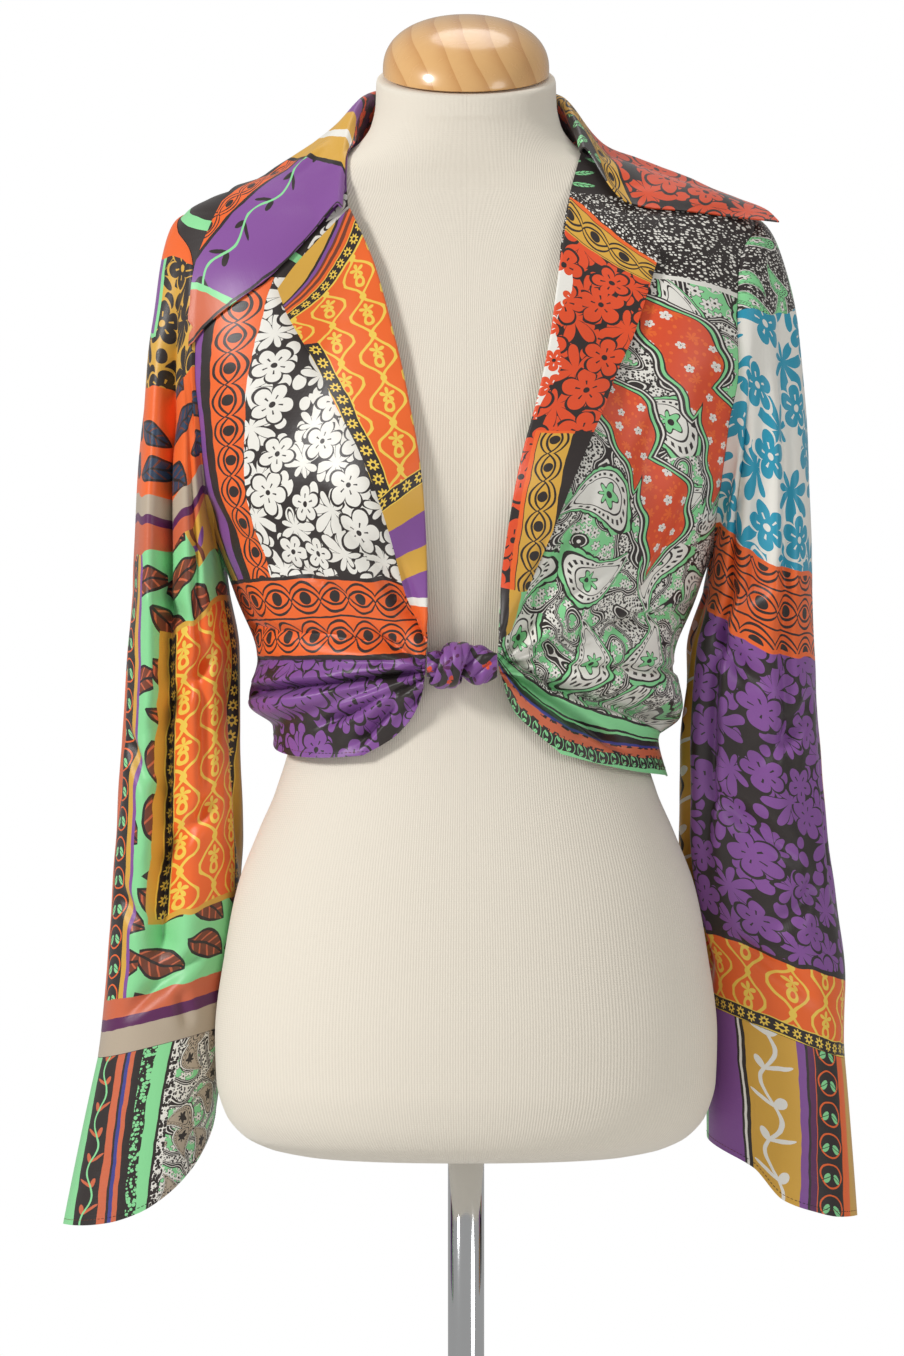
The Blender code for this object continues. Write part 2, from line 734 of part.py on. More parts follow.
def collar_half(table, side, shares):
    """Profiles of half the collar: up the stand, over the fold and down the fall."""
    seam_turn = np.radians(table.spread("seam_turn", shares)) * side
    seam = cloth_point(seam_turn, table.spread("seam_height", shares), SEAM_LIFT)
    mirror = np.array([side, 1, 1])
    fold, middle, edge = (
        np.stack([table.spread(f"{line}_{k}", shares) for k in ("x", "y", "height")], -1) * mirror
        for line in ("fold", "middle", "edge")
    )
    outward = edge - fold
    outward[..., 2] = 0
    outward = unit(outward)
    up = np.array([0, 0, 1.0])
    stations = np.stack(
        [
            seam,
            fold - outward * FOLD_RADIUS - up * FOLD_RADIUS * 0.6,
            fold + up * FOLD_RADIUS * 0.4,
            fold + outward * FOLD_RADIUS - up * FOLD_RADIUS * 0.4,
            middle,
            edge,
        ],
        axis=1,
    )
    places = np.array([0, 0.3, 0.36, 0.42, 0.7, 1.0])
    at = np.array([0, 0.17, 0.3, 0.36, 0.42, 0.52, 0.64, 0.76, 0.88, 1.0])
    profile = np.empty((len(shares), len(at), 3))
    for i in range(len(shares)):
        for k in range(3):
            profile[i, :, k] = smooth(at, places, stations[i, :, k])
    return profile


def sleeve_section(table, sleeve_folds, height, turns, side):
    """One ring of a sleeve below the underarm; turns run from its outer side to its front."""
    outer, inner = table("outer", height), table("inner", height)
    half_width, half_depth = (outer - inner) / 2, table("half_depth", height)
    reach = 1.0 + np.zeros_like(turns)
    mean = (half_width + half_depth) / 2
    for row in sleeve_folds:
        away = np.radians((np.degrees(turns) - row.turn + 180) % 360 - 180) * mean
        along = ease_in(height, row.bottom - 30, row.bottom + 50)
        along = along * ease_in(height, row.top + 30, row.top - 50)
        reach = reach - row.depth / mean * trough(away / row.width) * along
    round_x = np.sign(np.cos(turns)) * np.abs(np.cos(turns)) ** SLEEVE_SQUARE
    round_y = np.sign(np.sin(turns)) * np.abs(np.sin(turns)) ** SLEEVE_SQUARE
    x = (outer + inner) / 2 + half_width * round_x * reach
    y = table("centre_y", height) - half_depth * round_y * reach
    z = height - table("slope", height) * (x - (outer + inner) / 2)
    return np.stack([x * side, y, z], axis=-1)


def sleeve_grid(front, back, table, sleeve_folds, cap_pull, side):
    """Rings from the armhole's own points to the cuff's seam."""
    front_rim = front[ARMHOLE_FROM:, -1][::-1]
    back_rim = back[ARMHOLE_FROM:, 0 if side > 0 else -1]
    rim = np.concatenate([front_rim, back_rim[1:-1]])
    middle = (rim.max(0) + rim.min(0)) / 2
    turns = np.linspace(0, 2 * math.pi, len(rim), endpoint=False)
    top_height = table.key[-1]
    ring = sleeve_section(table, sleeve_folds, top_height, turns, side)
    spoke = unit((rim - middle) * np.array([0, 1, 1]))
    leave = unit(np.array([side, 0, -CAP_DROP]) + CAP_SPREAD * spoke)
    start = rim + leave * (SEAM_GAP + CLOTH * 0.6)
    way = np.linalg.norm(ring - start, axis=1)[:, None]
    pull = np.clip(way * cap_pull, LEAST_PULL, None)
    fall = np.array([0, 0, -1.0]) * np.clip(way * CAP_FALL, LEAST_PULL, None)
    rings = []
    for t in np.linspace(0, 1, SLEEVE_CAP_RINGS, endpoint=False):
        rings.append(
            start * (1 + 2 * t) * (1 - t) ** 2
            + ring * t**2 * (3 - 2 * t)
            + leave * pull * t * (1 - t) ** 2
            - fall * t**2 * (1 - t)
        )
    for height in np.linspace(top_height, table.key[0], SLEEVE_RINGS):
        rings.append(sleeve_section(table, sleeve_folds, height, turns, side))
    return np.array(rings)


def cuff_grid(table, flare, side, sleeve_end):
    """A long pointed cuff, slit down its outer side, from the sleeve's last ring."""
    turns = np.linspace(0, 2 * math.pi, len(sleeve_end) + 1)
    top = np.concatenate([sleeve_end, sleeve_end[:1]])
    folded = np.degrees(np.minimum(turns, 2 * math.pi - turns))
    low = CUFF_EDGE("left_height" if side > 0 else "right_height", folded)
    wrist = table.key[0]
    outer = table("outer", wrist) + flare.outer
    inner = table("inner", wrist) + flare.inner
    depth = table("half_depth", wrist) + flare.depth
    rings = []
    for t in np.linspace(0, 1, CUFF_RINGS):
        slit = CUFF_SLIT * (CUFF_SLIT_TOP + (1 - CUFF_SLIT_TOP) * t)
        around = slit + (1 - slit / math.pi) * turns
        x = (outer + inner) / 2 + (outer - inner) / 2 * np.cos(around)
        y = table("centre_y", wrist) - depth * np.sin(around)
        bottom = np.stack([x * side, y, low], axis=-1)
        share = t * (0.75 + 0.25 * t)
        rings.append(top * (1 - share) + bottom * share)
    rings = np.array(rings)
    for end, inside in ((0, 1), (-1, -2)):
        rings[0, end] += unit(rings[0, inside] - rings[0, end]) * CUFF_TOP_GAP
    rings[..., 2] -= SEAM_GAP
    return rings


def roll_rings():
    """The twisted roll of cloth that joins the two fronts' gathers."""
    turns = np.linspace(0, 2 * math.pi, ROLL_TURNS, endpoint=False)
    middle_height = KNOT_HEIGHT + ROLL_RAISED
    rings = []
    for x in np.linspace(ROLL.key[0], ROLL.key[-1], ROLL_RINGS):
        pleat = 1 + PLEAT_DEPTH * np.cos(PLEATS * turns + x * PLEAT_TWIST)
        y = ROLL_Y + ROLL("half_depth", x) * np.cos(turns) * pleat
        z = middle_height + ROLL("half_height", x) * np.sin(turns) * pleat
        rings.append(np.stack([np.full_like(y, x), y, z], axis=-1))
    return rings


def knot_grid():
    """The knot's outer turn, a thick band passed once round the roll."""
    around = np.linspace(0, 2 * math.pi, KNOT_RINGS, endpoint=False)
    section = np.linspace(0, 2 * math.pi, KNOT_TURNS, endpoint=False)
    grid = np.empty((KNOT_RINGS, KNOT_TURNS, 3))
    for i, turn in enumerate(around):
        half_wide = KNOT_WIDE / 2 * (1 + KNOT_WIDER_AT_BACK * math.cos(turn))
        thin = 1 - KNOT_THINNER_AT_FRONT * math.cos(turn - KNOT_THIN_TURN)
        out = KNOT_THICK / 2 * thin * (1 + np.cos(section))
        grid[i, :, 0] = KNOT_X + half_wide * np.sin(section) + KNOT_TILT * math.sin(turn)
        grid[i, :, 1] = ROLL_Y + (KNOT_INNER_Y + out) * math.cos(turn)
        grid[i, :, 2] = KNOT_HEIGHT + ROLL_RAISED + (KNOT_INNER_HEIGHT + out) * math.sin(turn)
    return grid


def ring_solid(name, grid, material):
    """A closed ring whose rows run round a loop and whose columns run round its section."""
    rows, columns = grid.shape[:2]
    faces = []
    for r in range(rows):
        for c in range(columns):
            s, d = (r + 1) % rows, (c + 1) % columns
            faces.append((r * columns + c, s * columns + c, s * columns + d, r * columns + d))
    return mesh_object(name, grid.reshape(-1, 3), faces, material)


def torso_rings():
    turns = np.linspace(0, 2 * math.pi, FORM_TURNS, endpoint=False)
    turns = (turns + math.pi) % (2 * math.pi) - math.pi
    rings = [form_point(turns, np.full(FORM_TURNS, height)) for height in FORM_LEVELS]
    rim = form_point(turns, np.full(FORM_TURNS, NECK_TOP))
    centre = np.array([0, NECK_CENTRE_Y, NECK_TOP])
    for share, rise in ((1.0, 0.0), (0.985, 0.65), (0.95, 1.0)):
        rings.append(centre + (rim - centre) * share + np.array([0, 0, rise * NECK_RIM]))
    return rings


def tilted(point):
    """A point of the neck cap, given upright on its own base, turned to the neck's slant."""
    angle = math.atan(NECK_SLANT)
    x, y, z = point[..., 0], point[..., 1], point[..., 2]
    across = y * math.cos(angle) - z * math.sin(angle)
    up = y * math.sin(angle) + z * math.cos(angle)
    return np.stack([x, across + NECK_CENTRE_Y, up + NECK_TOP + NECK_RIM + SEAM_GAP], axis=-1)


def cap_rings():
    """The domed cap: a short straight foot with rounded corners, then a squarish dome."""
    turns = np.linspace(0, 2 * math.pi, CAP_TURNS, endpoint=False)
    dome = CAP_HEIGHT - CAP_FOOT
    profile = [(CAP_RADIUS - 1.5, 0.0), (CAP_RADIUS - 0.3, CAP_FOOT / 2)]
    for angle in np.radians(np.linspace(0, 88, 9)):
        across = math.cos(angle) ** (2 / CAP_SQUARENESS)
        up = math.sin(angle) ** (2 / CAP_SQUARENESS)
        profile.append((CAP_RADIUS * across, CAP_FOOT + dome * up))
    rings = []
    for radius, z in profile:
        ring = [radius * np.cos(turns), radius * np.sin(turns), np.full_like(turns, z)]
        rings.append(tilted(np.stack(ring, -1)))
    return rings


def turned(profile, count):
    """Rings of a round part from (radius, height above the floor) pairs."""
    turns = np.linspace(0, 2 * math.pi, count, endpoint=False)
    return [
        np.stack([r * np.cos(turns), r * np.sin(turns), np.full_like(turns, z - LEVEL)], -1)
        for r, z in profile
    ]


def material(name, colour, roughness, metallic=0.0):
    made = bpy.data.materials.new(name)
    made.use_nodes = True
    shader = made.node_tree.nodes["Principled BSDF"]
    shader.inputs["Base Color"].default_value = (*colour, 1.0)
    shader.inputs["Roughness"].default_value = roughness
    shader.inputs["Metallic"].default_value = metallic
    return made


def build_form():
    """The dress form and its stand; gives the torso's rings, which the cloth lies on."""
    jersey = material("cream_jersey", (0.87, 0.81, 0.7), 0.9)
    pine = material("pine", (0.8, 0.55, 0.28), 0.3)
    chrome = material("chrome", (0.8, 0.8, 0.8), 0.12, 1.0)
    steel = material("brushed_steel", (0.6, 0.6, 0.6), 0.35, 1.0)
    torso = np.array(torso_rings())
    skin("dress_form", torso, jersey)
    skin("neck_cap", cap_rings(), pine)
    top = BASE_THICK
    profile = [
        (BASE_RADIUS - BASE_ROUND, 0),
        (BASE_RADIUS, BASE_ROUND),
        (BASE_RADIUS, top - 2 * BASE_ROUND),
        (BASE_RADIUS - 2.5 * BASE_ROUND, top),
        (HUB_RADIUS + HUB_FLARE, top + HUB_FLARE / 3),
        (HUB_RADIUS, top + HUB_FLARE),
        (HUB_RADIUS - HUB_TAPER, top + HUB_HEIGHT),
    ]
    skin("base", turned(profile, BASE_TURNS), steel)
    pole_foot = top + HUB_HEIGHT + SEAM_GAP
    pole_top = LEVEL + TORSO_BOTTOM - SEAM_GAP
    skin("pole", turned([(POLE_RADIUS, pole_foot), (POLE_RADIUS, pole_top)], POLE_TURNS), chrome)
    return torso


def build_blouse(torso):
    """The fronts, back, lapels, sleeves, cuffs, collar and tie."""
    under = [(torso, 1.0, True)]
    right_front = settled(front_grid(RIGHT_FRONT, -1), under, FORM_CLEAR)
    left_front = settled(front_grid(LEFT_FRONT, 1), under, FORM_CLEAR)
    back = settled(cloth_point(*back_places()), under, FORM_CLEAR)
    half_gap = SEAM_GAP / 2
    white_floral = material("white_floral", (0.62, 0.33, 0.22), 0.42)
    green_paisley = material("green_paisley", (0.36, 0.45, 0.3), 0.42)
    dark_paisley = material("dark_paisley", (0.3, 0.36, 0.26), 0.42)
    wall("front_right", pulled_in(right_front, half_gap), white_floral, outward=-1.0)
    wall("front_left", pulled_in(left_front, half_gap), green_paisley)
    wall("back", pulled_in(back, half_gap), dark_paisley)

    right_lapel = settled(lapel_grid(RIGHT_LAPEL, -1), [(right_front, -1.0, False)], LAPEL_CLEAR)
    left_lapel = settled(lapel_grid(LEFT_LAPEL, 1), [(left_front, 1.0, False)], LAPEL_CLEAR)
    orange_scroll = material("orange_scroll", (0.85, 0.33, 0.1), 0.4)
    orange_flowers = material("orange_flowers", (0.55, 0.2, 0.1), 0.4)
    wall("lapel_right", right_lapel, orange_scroll, outward=-1.0)
    wall("lapel_left", left_lapel, orange_flowers)

    right_sleeve = sleeve_grid(
        right_front, back, RIGHT_SLEEVE, RIGHT_SLEEVE_FOLDS, RIGHT_CAP_PULL, -1
    )
    left_sleeve = sleeve_grid(left_front, back, LEFT_SLEEVE, LEFT_SLEEVE_FOLDS, LEFT_CAP_PULL, 1)
    leaf_patchwork = material("leaf_patchwork", (0.72, 0.38, 0.16), 0.4)
    purple_floral = material("purple_floral", (0.33, 0.16, 0.36), 0.4)
    wall("sleeve_right", right_sleeve, leaf_patchwork, closed=True, outward=-1.0)
    wall("sleeve_left", left_sleeve, purple_floral, closed=True)
    right_cuff = cuff_grid(RIGHT_SLEEVE, RIGHT_CUFF_FLARE, -1, right_sleeve[-1])
    left_cuff = cuff_grid(LEFT_SLEEVE, LEFT_CUFF_FLARE, 1, left_sleeve[-1])
    mint_stripe = material("mint_stripe", (0.4, 0.52, 0.38), 0.4)
    plum_stripe = material("plum_stripe", (0.3, 0.14, 0.3), 0.4)
    wall("cuff_right", right_cuff, mint_stripe, outward=-1.0)
    wall("cuff_left", left_cuff, plum_stripe)

    layers = [
        (right_front, -1.0, False),
        (left_front, 1.0, False),
        (back, 1.0, False),
        (right_lapel, -1.0, False),
        (left_lapel, 1.0, False),
        (right_sleeve, -1.0, True),
        (left_sleeve, 1.0, True),
    ]
    shares = np.linspace(0, 1, (COLLAR_STATIONS + 1) // 2)
    right_half = collar_half(RIGHT_COLLAR, -1, shares)[::-1]
    left_half = collar_half(LEFT_COLLAR, 1, shares)[1:]
    collar = np.concatenate([right_half, left_half])
    collar[:, :STAND_COLUMNS] = settled(collar[:, :STAND_COLUMNS], layers, SEAM_LIFT)
    collar[:, STAND_COLUMNS:] = settled(collar[:, STAND_COLUMNS:], layers, COLLAR_CLEAR)
    wall("collar", collar, material("purple_leaf", (0.4, 0.2, 0.4), 0.4))

    purple_roll = material("purple_roll", (0.33, 0.15, 0.4), 0.4)
    skin("tie_roll", roll_rings(), purple_roll)
    ring_solid("tie_knot", knot_grid(), purple_roll)


def build():
    for thing in list(bpy.data.objects):
        bpy.data.objects.remove(thing)
    build_blouse(build_form())


build()
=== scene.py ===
"""Looks for a cropped tie-front blouse with long sleeves, worn by a limbless dress form.

The shapes are worked out in millimetres above a level just below the torso, and made in
metres above the floor. Left and right are the wearer's. Every cloth piece has a map named
"cloth" with its place on the cut piece, in metres, and its print is read from that map.
"""

import json
import math
from functools import lru_cache

import bmesh
import bpy
import numpy as np
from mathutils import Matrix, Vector
from mathutils.bvhtree import BVHTree

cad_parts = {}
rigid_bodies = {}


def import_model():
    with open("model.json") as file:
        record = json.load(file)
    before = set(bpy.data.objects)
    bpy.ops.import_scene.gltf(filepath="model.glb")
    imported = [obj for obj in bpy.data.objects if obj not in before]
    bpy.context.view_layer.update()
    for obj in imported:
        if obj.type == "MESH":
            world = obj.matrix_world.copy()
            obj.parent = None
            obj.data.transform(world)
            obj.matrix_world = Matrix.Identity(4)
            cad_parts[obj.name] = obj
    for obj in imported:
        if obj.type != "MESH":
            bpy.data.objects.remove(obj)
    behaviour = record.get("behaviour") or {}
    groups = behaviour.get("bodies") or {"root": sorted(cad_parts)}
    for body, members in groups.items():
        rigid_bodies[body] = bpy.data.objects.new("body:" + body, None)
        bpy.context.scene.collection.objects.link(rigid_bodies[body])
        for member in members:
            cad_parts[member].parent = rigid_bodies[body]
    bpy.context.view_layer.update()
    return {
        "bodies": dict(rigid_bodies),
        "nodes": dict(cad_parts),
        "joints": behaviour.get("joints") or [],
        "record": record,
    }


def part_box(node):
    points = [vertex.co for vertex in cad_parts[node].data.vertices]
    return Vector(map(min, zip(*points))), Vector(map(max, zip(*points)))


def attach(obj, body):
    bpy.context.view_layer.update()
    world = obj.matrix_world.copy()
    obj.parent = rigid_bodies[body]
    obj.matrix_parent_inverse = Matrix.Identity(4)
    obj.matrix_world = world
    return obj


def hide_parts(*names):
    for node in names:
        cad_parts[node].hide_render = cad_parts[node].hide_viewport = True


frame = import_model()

bl_info = {
    "name": "Tie-front blouse on a dress form",
    "version": (1, 0, 0),
    "blender": (4, 5, 0),
    "location": "View3D > Sidebar > Blouse",
    "description": "Makes a patchwork-print blouse, its dress form and a plain studio",
    "category": "Add Mesh",
}

BODY = "root"

# Sizes in millimetres, as in the solids
MM = 0.001
LEVEL = 507.0
CLOTH = 0.8
KNOT_HEIGHT, SHOULDER_END, NECK_SIDE = 345.0, 652.0, 702.0
SQUARENESS = 2.2
NECK_SLANT = math.tan(math.radians(19))
NECK_SLANT_FROM, NECK_TOP, NECK_CENTRE_Y, NECK_RIM = 706.0, 748.0, 3.5, 4.0
BUST_HEIGHT, BUST_TURN, BUST_RISE = 458.0, math.radians(33), 15.0
BUST_TALL, BUST_WIDE = 46.0, math.radians(21)
CAP_RADIUS, CAP_HEIGHT, CAP_FOOT, CAP_SQUARENESS = 57.5, 40.0, 4.0, 2.3
POLE_RADIUS, BASE_RADIUS, HUB_RADIUS = 12.5, 160.0, 24.0
KNOT_Y, ROLL_HEIGHT = -109.0, KNOT_HEIGHT + 1
CUFF_SLIT = math.radians(17)
RIB_WIDE, KNIT_TALL, RINGS_A_METRE = 2.1, 1.5, 66.0
FULL_TURN = 2 * math.pi
ROUND = 6.283  # the same turn, for the print's waves
# Millimetres of cloth for one radian of turn
BODY_ROUND, SLEEVE_ROUND, CREASE_ROUND = 150, 52, 48

# Grid sizes
ROWS, ARMHOLE_FROM = 191, 75
FRONT_COLUMNS, BACK_COLUMNS = 111, 141
CAP_RINGS, SLEEVE_RINGS, CUFF_RINGS = 42, 132, 34
LAPEL_ROWS, LAPEL_COLUMNS, ROLL_COLUMNS = 121, 26, 6
COLLAR_STATIONS, COLLAR_COLUMNS, STAND_COLUMNS, FOLD_COLUMN = 153, 46, 9, 14

# Shares of a grid's height or width
STAND_SHARE, UNDERARM_SHARE, NECK_SHARE = 0.3, 6 / 15, 0.44

# Air kept under the cloth, in millimetres
TORSO_GAP, LAPEL_GAP, STAND_GAP, FALL_GAP = 1.1, 1.5, 1.6, 2.4


def smooth(at, xs, ys):
    """A curve through the points xs, ys that never overshoots them."""
    at = np.clip(np.asarray(at, float), xs[0], xs[-1])
    rise = np.diff(ys) / np.diff(xs)
    slope = np.zeros(len(xs))
    product = rise[:-1] * rise[1:]
    total = np.where(product > 0, rise[:-1] + rise[1:], 1.0)
    slope[1:-1] = np.where(product > 0, 2 * product / total, 0.0)
    slope[0], slope[-1] = rise[0], rise[-1]
    i = np.clip(np.searchsorted(xs, at) - 1, 0, len(xs) - 2)
    step = xs[i + 1] - xs[i]
    t = (at - xs[i]) / step
    rest = 1 - t
    return (
        ys[i] * (1 + 2 * t) * rest**2
        + ys[i + 1] * t**2 * (3 - 2 * t)
        + step * (slope[i] * t * rest**2 - slope[i + 1] * t**2 * rest)
    )


def ease_in(at, low, high):
    t = np.clip((at - low) / (high - low), 0, 1)
    return t * t * (3 - 2 * t)


def rows_of(text):
    """Rows of numbers from a table written as text, with a bar between rows."""
    return [[float(x) for x in row.split()] for row in text.split("|")]


class Table:
    """Rows of sizes under named columns, read smoothly by the first column."""

    def __init__(self, names, text):
        self.columns = dict(zip(names.split(), np.array(rows_of(text)).T))
        self.key = self.columns[names.split()[0]]

    def __call__(self, name, at):
        return smooth(at, self.key, self.columns[name])

    def spread(self, name, share):
        """The column read by its rows' own order, from 0 at the first to 1 at the last."""
        return smooth(share, np.linspace(0, 1, len(self.key)), self.columns[name])


FRONT_NAMES = "number edge_x edge_height side_turn side_height sag"
LAPEL_NAMES = "number fold_x fold_height edge_x edge_height"
COLLAR_NAMES = (
    "number seam_turn seam_height fold_x fold_y fold_height "
    "middle_x middle_y middle_height edge_x edge_y edge_height"
)
SLEEVE_NAMES = "height outer inner centre_y half_depth slope"
FORM = Table("height half_width front back", """
    10 118 72 74 | 14 136 87 88 | 23 154 99 101 | 38 166 107 110 | 60 172 112 116 |
    92 173 113 118 | 150 166 109 112 | 192 158 104 104 | 232 143 97 93 | 260 131 92 86 |
    300 121 88 80 | 340 122 91 80 | 400 134 101 85 | 460 147 110 91 | 515 158 105 97 |
    560 170 92 99 | 600 181 78 95 | 625 185 67 88 | 640 186 60 82 | 652 183 55 76 |
    662 174 52 71 | 670 160 50 68 | 678 138 50 65 | 687 112 51 63 | 696 88 52 62 |
    706 73 53 62 | 718 65.5 54 62 | 733 62.5 55 62 | 748 62 55 62
""")
EASE = Table("height at_0 at_45 at_75 at_90 at_110 at_135 at_180", """
    255 7 9 10 10 10 9 8 | 290 9 10 11 11 11 10 9 | 320 9 12 14 14 14 12 11 |
    363 7 13 18 19 18 15 13 | 395 6 11 22 25 23 17 13 | 430 5 9 27 30 27 19 12 |
    480 5 9 34 38 33 19 10 | 540 5 9 35 40 33 17 9 | 600 5 8 27 33 27 14 8 |
    640 5 7 14 19 16 10 6 | 662 3 4 5 6 6 5 4 | 676 1.7 1.7 1.7 1.7 1.7 1.8 2 |
    715 1.6 1.6 1.6 1.6 1.6 1.6 1.6
""")
WAIST_CREASE = Table("turn height", """
    -180 302 | -95 305 | -60 309 | -32 315 | -18 332 | -10 346 | 8 350 | 22 345 | 44 329 |
    75 312 | 95 298 | 180 302
""")
RIGHT_FRONT = Table(FRONT_NAMES, """
    0 66 284 90 291 -6 | 1 46 298 90 296 -5 | 2 32 317 90 304 -2 | 3 26.5 337 90 315 -4 |
    4 25.5 348 90 338 -5 | 5 25 360 90 370 -3 | 6 26.5 397 90 420 -3 | 7 28.5 436 81 447 -2 |
    8 33 484 76.5 486 0 | 9 42 538 75 528 0 | 10 50 571 75.5 566 0 | 11 58 602 77.5 600 0 |
    12 70 631 81 626 0 | 13 79 652 85 640 0 | 14 81 676 88 648 0 | 15 80 702 90 652 0
""")
LEFT_FRONT = Table(FRONT_NAMES, """
    0 60 285 90 266 -4 | 1 44 301 90 282 -4 | 2 30 317 90 298 -2 | 3 23 336 90 312 -4 |
    4 20 348 90 338 -5 | 5 19.5 360 90 370 -3 | 6 22.5 398 90 420 -3 | 7 28.5 436 81 447 -2 |
    8 38 484 76.5 486 0 | 9 50 535 75 528 0 | 10 56 567 75.5 566 0 | 11 60 599 77.5 600 0 |
    12 63.5 630 81 626 0 | 13 69 661 85 640 0 | 14 76 688 88 648 0 | 15 80 702 90 652 0
""")
BACK = Table("number centre_height side_turn", """
    0 274 90 | 1 284 90 | 2 300 90 | 3 312 90 | 4 336 90 | 5 368 90 | 6 414 90 | 7 446 99 |
    8 484 104 | 9 528 106 | 10 566 105.5 | 11 600 103.5 | 12 632 100 | 13 662 96 |
    14 682 92.5 | 15 698 90
""")
RIGHT_LAPEL = Table(LAPEL_NAMES, """
    0 26.5 368 31 372 | 1 27.5 397 40 396 | 2 29.5 436 50 434 | 3 34 484 66 478 |
    4 43 538 88 528 | 5 51 571 103 558 | 6 62 610 113 578 | 7 79 651 118 592
""")
LEFT_LAPEL = Table(LAPEL_NAMES, """
    0 21.5 368 27 371 | 1 24 402 40 400 | 2 30 438 56 438 | 3 39 484 74 482 | 4 51 535 92 530 |
    5 57 567 104 560 | 6 62 602 113 587 | 7 71 660 123 617
""")
RIGHT_COLLAR = Table(COLLAR_NAMES, """
    0 180 705 0 74 747 0 91 712 0 100 672 | 1 140 705 32 68 748 44 87 711 58 100 668 |
    2 115 706 56 44 747 78 62 707 110 76 669 | 3 95 706 72 14 738 96 18 710 140 24 684 |
    4 76 702 81 -14 714 110 -20 694 160 -22 658 | 5 64 680 85 -42 685 118 -48 660 176 -44 613 |
    6 59 654 87 -65 656 127 -74 608 187 -62 561
""")
LEFT_COLLAR = Table(COLLAR_NAMES, """
    0 180 705 0 74 747 0 91 712 0 100 672 | 1 140 705 32 68 748 44 87 711 60 100 668 |
    2 115 706 55 46 746 80 62 707 118 80 671 | 3 96 706 68 18 738 92 22 709 166 40 677 |
    4 82 704 74 -6 723 99 -14 695 192 8 667 | 5 74 699 78 -24 709 107 -36 677 207 -12 658 |
    6 68 690 80 -42 697 112 -56 658 214 -26 649
""")
RIGHT_SLEEVE = Table(SLEEVE_NAMES, """
    84 257 168 46 48 0.26 | 110 253 167 46 50 0.12 | 170 248 159 42 51 0 |
    232 243 157 32 52 0 | 294 238 157 20 53 0 | 356 234 158 10 54 0 | 396 230 164 4 54 0
""")
LEFT_SLEEVE = Table(SLEEVE_NAMES, """
    91 265 169 46 48 0.4 | 125 265 169 46 50 0.2 | 170 260 158 42 51 0 | 232 251 150 32 52 0 |
    294 245 150 20 53 0 | 356 240 153 10 54 0 | 396 238 165 4 54 0
""")
CUFF_EDGE = Table("turn right_height left_height", """
    0 -43 -37 | 35 -41 -35 | 60 -38 -30 | 85 -31 -22 | 110 -18 0 | 134 -2 8 | 155 16 13 |
    180 33 17
""")
ROLL = Table("x half_height half_depth", """
    -26.3 7.5 5 | -21 8.5 6.5 | -14 7 6 | -6 7 6 | 2 11 8.5 | 10 12.5 9.5 | 16 9.5 7.5 |
    20.3 7.5 5.5
""")
FRONT_FOLDS = rows_of("""
    172 556 163 452 9 6 | 163 452 132 372 11 5 | 146 540 138 440 11 5 | 138 440 92 372 12 4 |
    30 352 96 392 7 3.5 | 28 356 70 432 7 3 | 30 346 112 348 7 3 | -176 500 -158 436 10 6 |
    -158 436 -120 368 10 4 | -34 354 -92 398 7 3 | -34 346 -118 346 7 3 | -33 362 -60 430 7 2.5
""")
BACK_FOLDS = rows_of("""
    -140 520 -120 360 14 6 | 138 510 112 350 14 6 | -60 470 -52 330 15 4 | 20 440 16 320 13 4 |
    76 500 70 330 15 4.5
""")
RIGHT_SLEEVE_FOLDS = rows_of("""
    84 470 130 12 14 | 150 400 200 16 4 | -70 440 180 18 6 | 20 560 380 18 4
""")
LEFT_SLEEVE_FOLDS = rows_of("""
    100 440 150 14 4 | 164 380 130 11 12 | -80 430 170 18 6 | 45 300 130 18 3
""")

# Narrow creases that the coarser folds above carry, seen from the front or the back.
FRONT_CREASES = rows_of("""
    -28 363 -115 420 4 1.8 | -32 357 -150 380 4.5 2.2 | -33 350 -150 352 4 1.8 |
    -30 343 -118 306 5 2.2 | -26 338 -78 288 5 1.8 | -26 365 -44 420 3.5 1.3 |
    -40 360 -70 372 3 1.5 | -150 470 -120 420 6 1.6 | -165 540 -150 470 6 2 |
    24 358 96 422 4 2.2 | 24 355 124 386 4.5 2.5 | 25 349 138 344 4.5 2.5 |
    24 341 96 288 5 2.6 | 27 365 52 432 3.5 1.5 | 40 352 80 364 3 1.5 |
    156 520 142 385 6 4 | 174 520 160 415 5 3 | 134 470 112 400 6 2.4 |
    120 520 104 440 9 1.8 | 150 400 90 372 5 2.2 | 84 330 128 306 6 1.6 |
    168 590 160 520 6 2 | -178 590 -170 520 6 1.8 |
    23 352 64 328 4 6 | 60 330 116 310 4.5 7 | 112 311 142 296 5 7 |
    -26 345 -92 333 4 7 | -88 334 -144 325 5 7.5 | -28 338 -90 306 4.5 4 | -40 330 -70 290 4.5 3 |
    30 338 72 300 4.5 4 | 44 330 100 288 5 4 | -30 372 -88 452 4.5 3 | 30 372 80 458 4.5 3
""")
BACK_CREASES = rows_of("""
    -172 520 -150 400 8 3 | 170 520 150 400 8 3 | -100 380 -92 318 9 2.2 | -20 390 -24 318 10 2 |
    44 380 48 318 9 2.2 | 112 390 104 318 9 2 | -140 620 -60 560 18 2 | 140 620 60 566 18 2 |
    -30 300 -34 276 9 1.6 | 60 304 62 278 9 1.6 | -110 304 -112 278 10 1.8
""")
# Collar creases, by the way along from the back's middle and the way down from the fold.
COLLAR_CREASES = rows_of("""
    -144 14 -168 62 6 2.6 | -176 34 -206 112 9 2.2 | -112 20 -128 80 9 1.8 | 138 26 152 96 8 2.2 |
    104 50 116 112 10 2 | 40 20 44 84 12 1.6 | -46 20 -50 84 12 1.6
""")
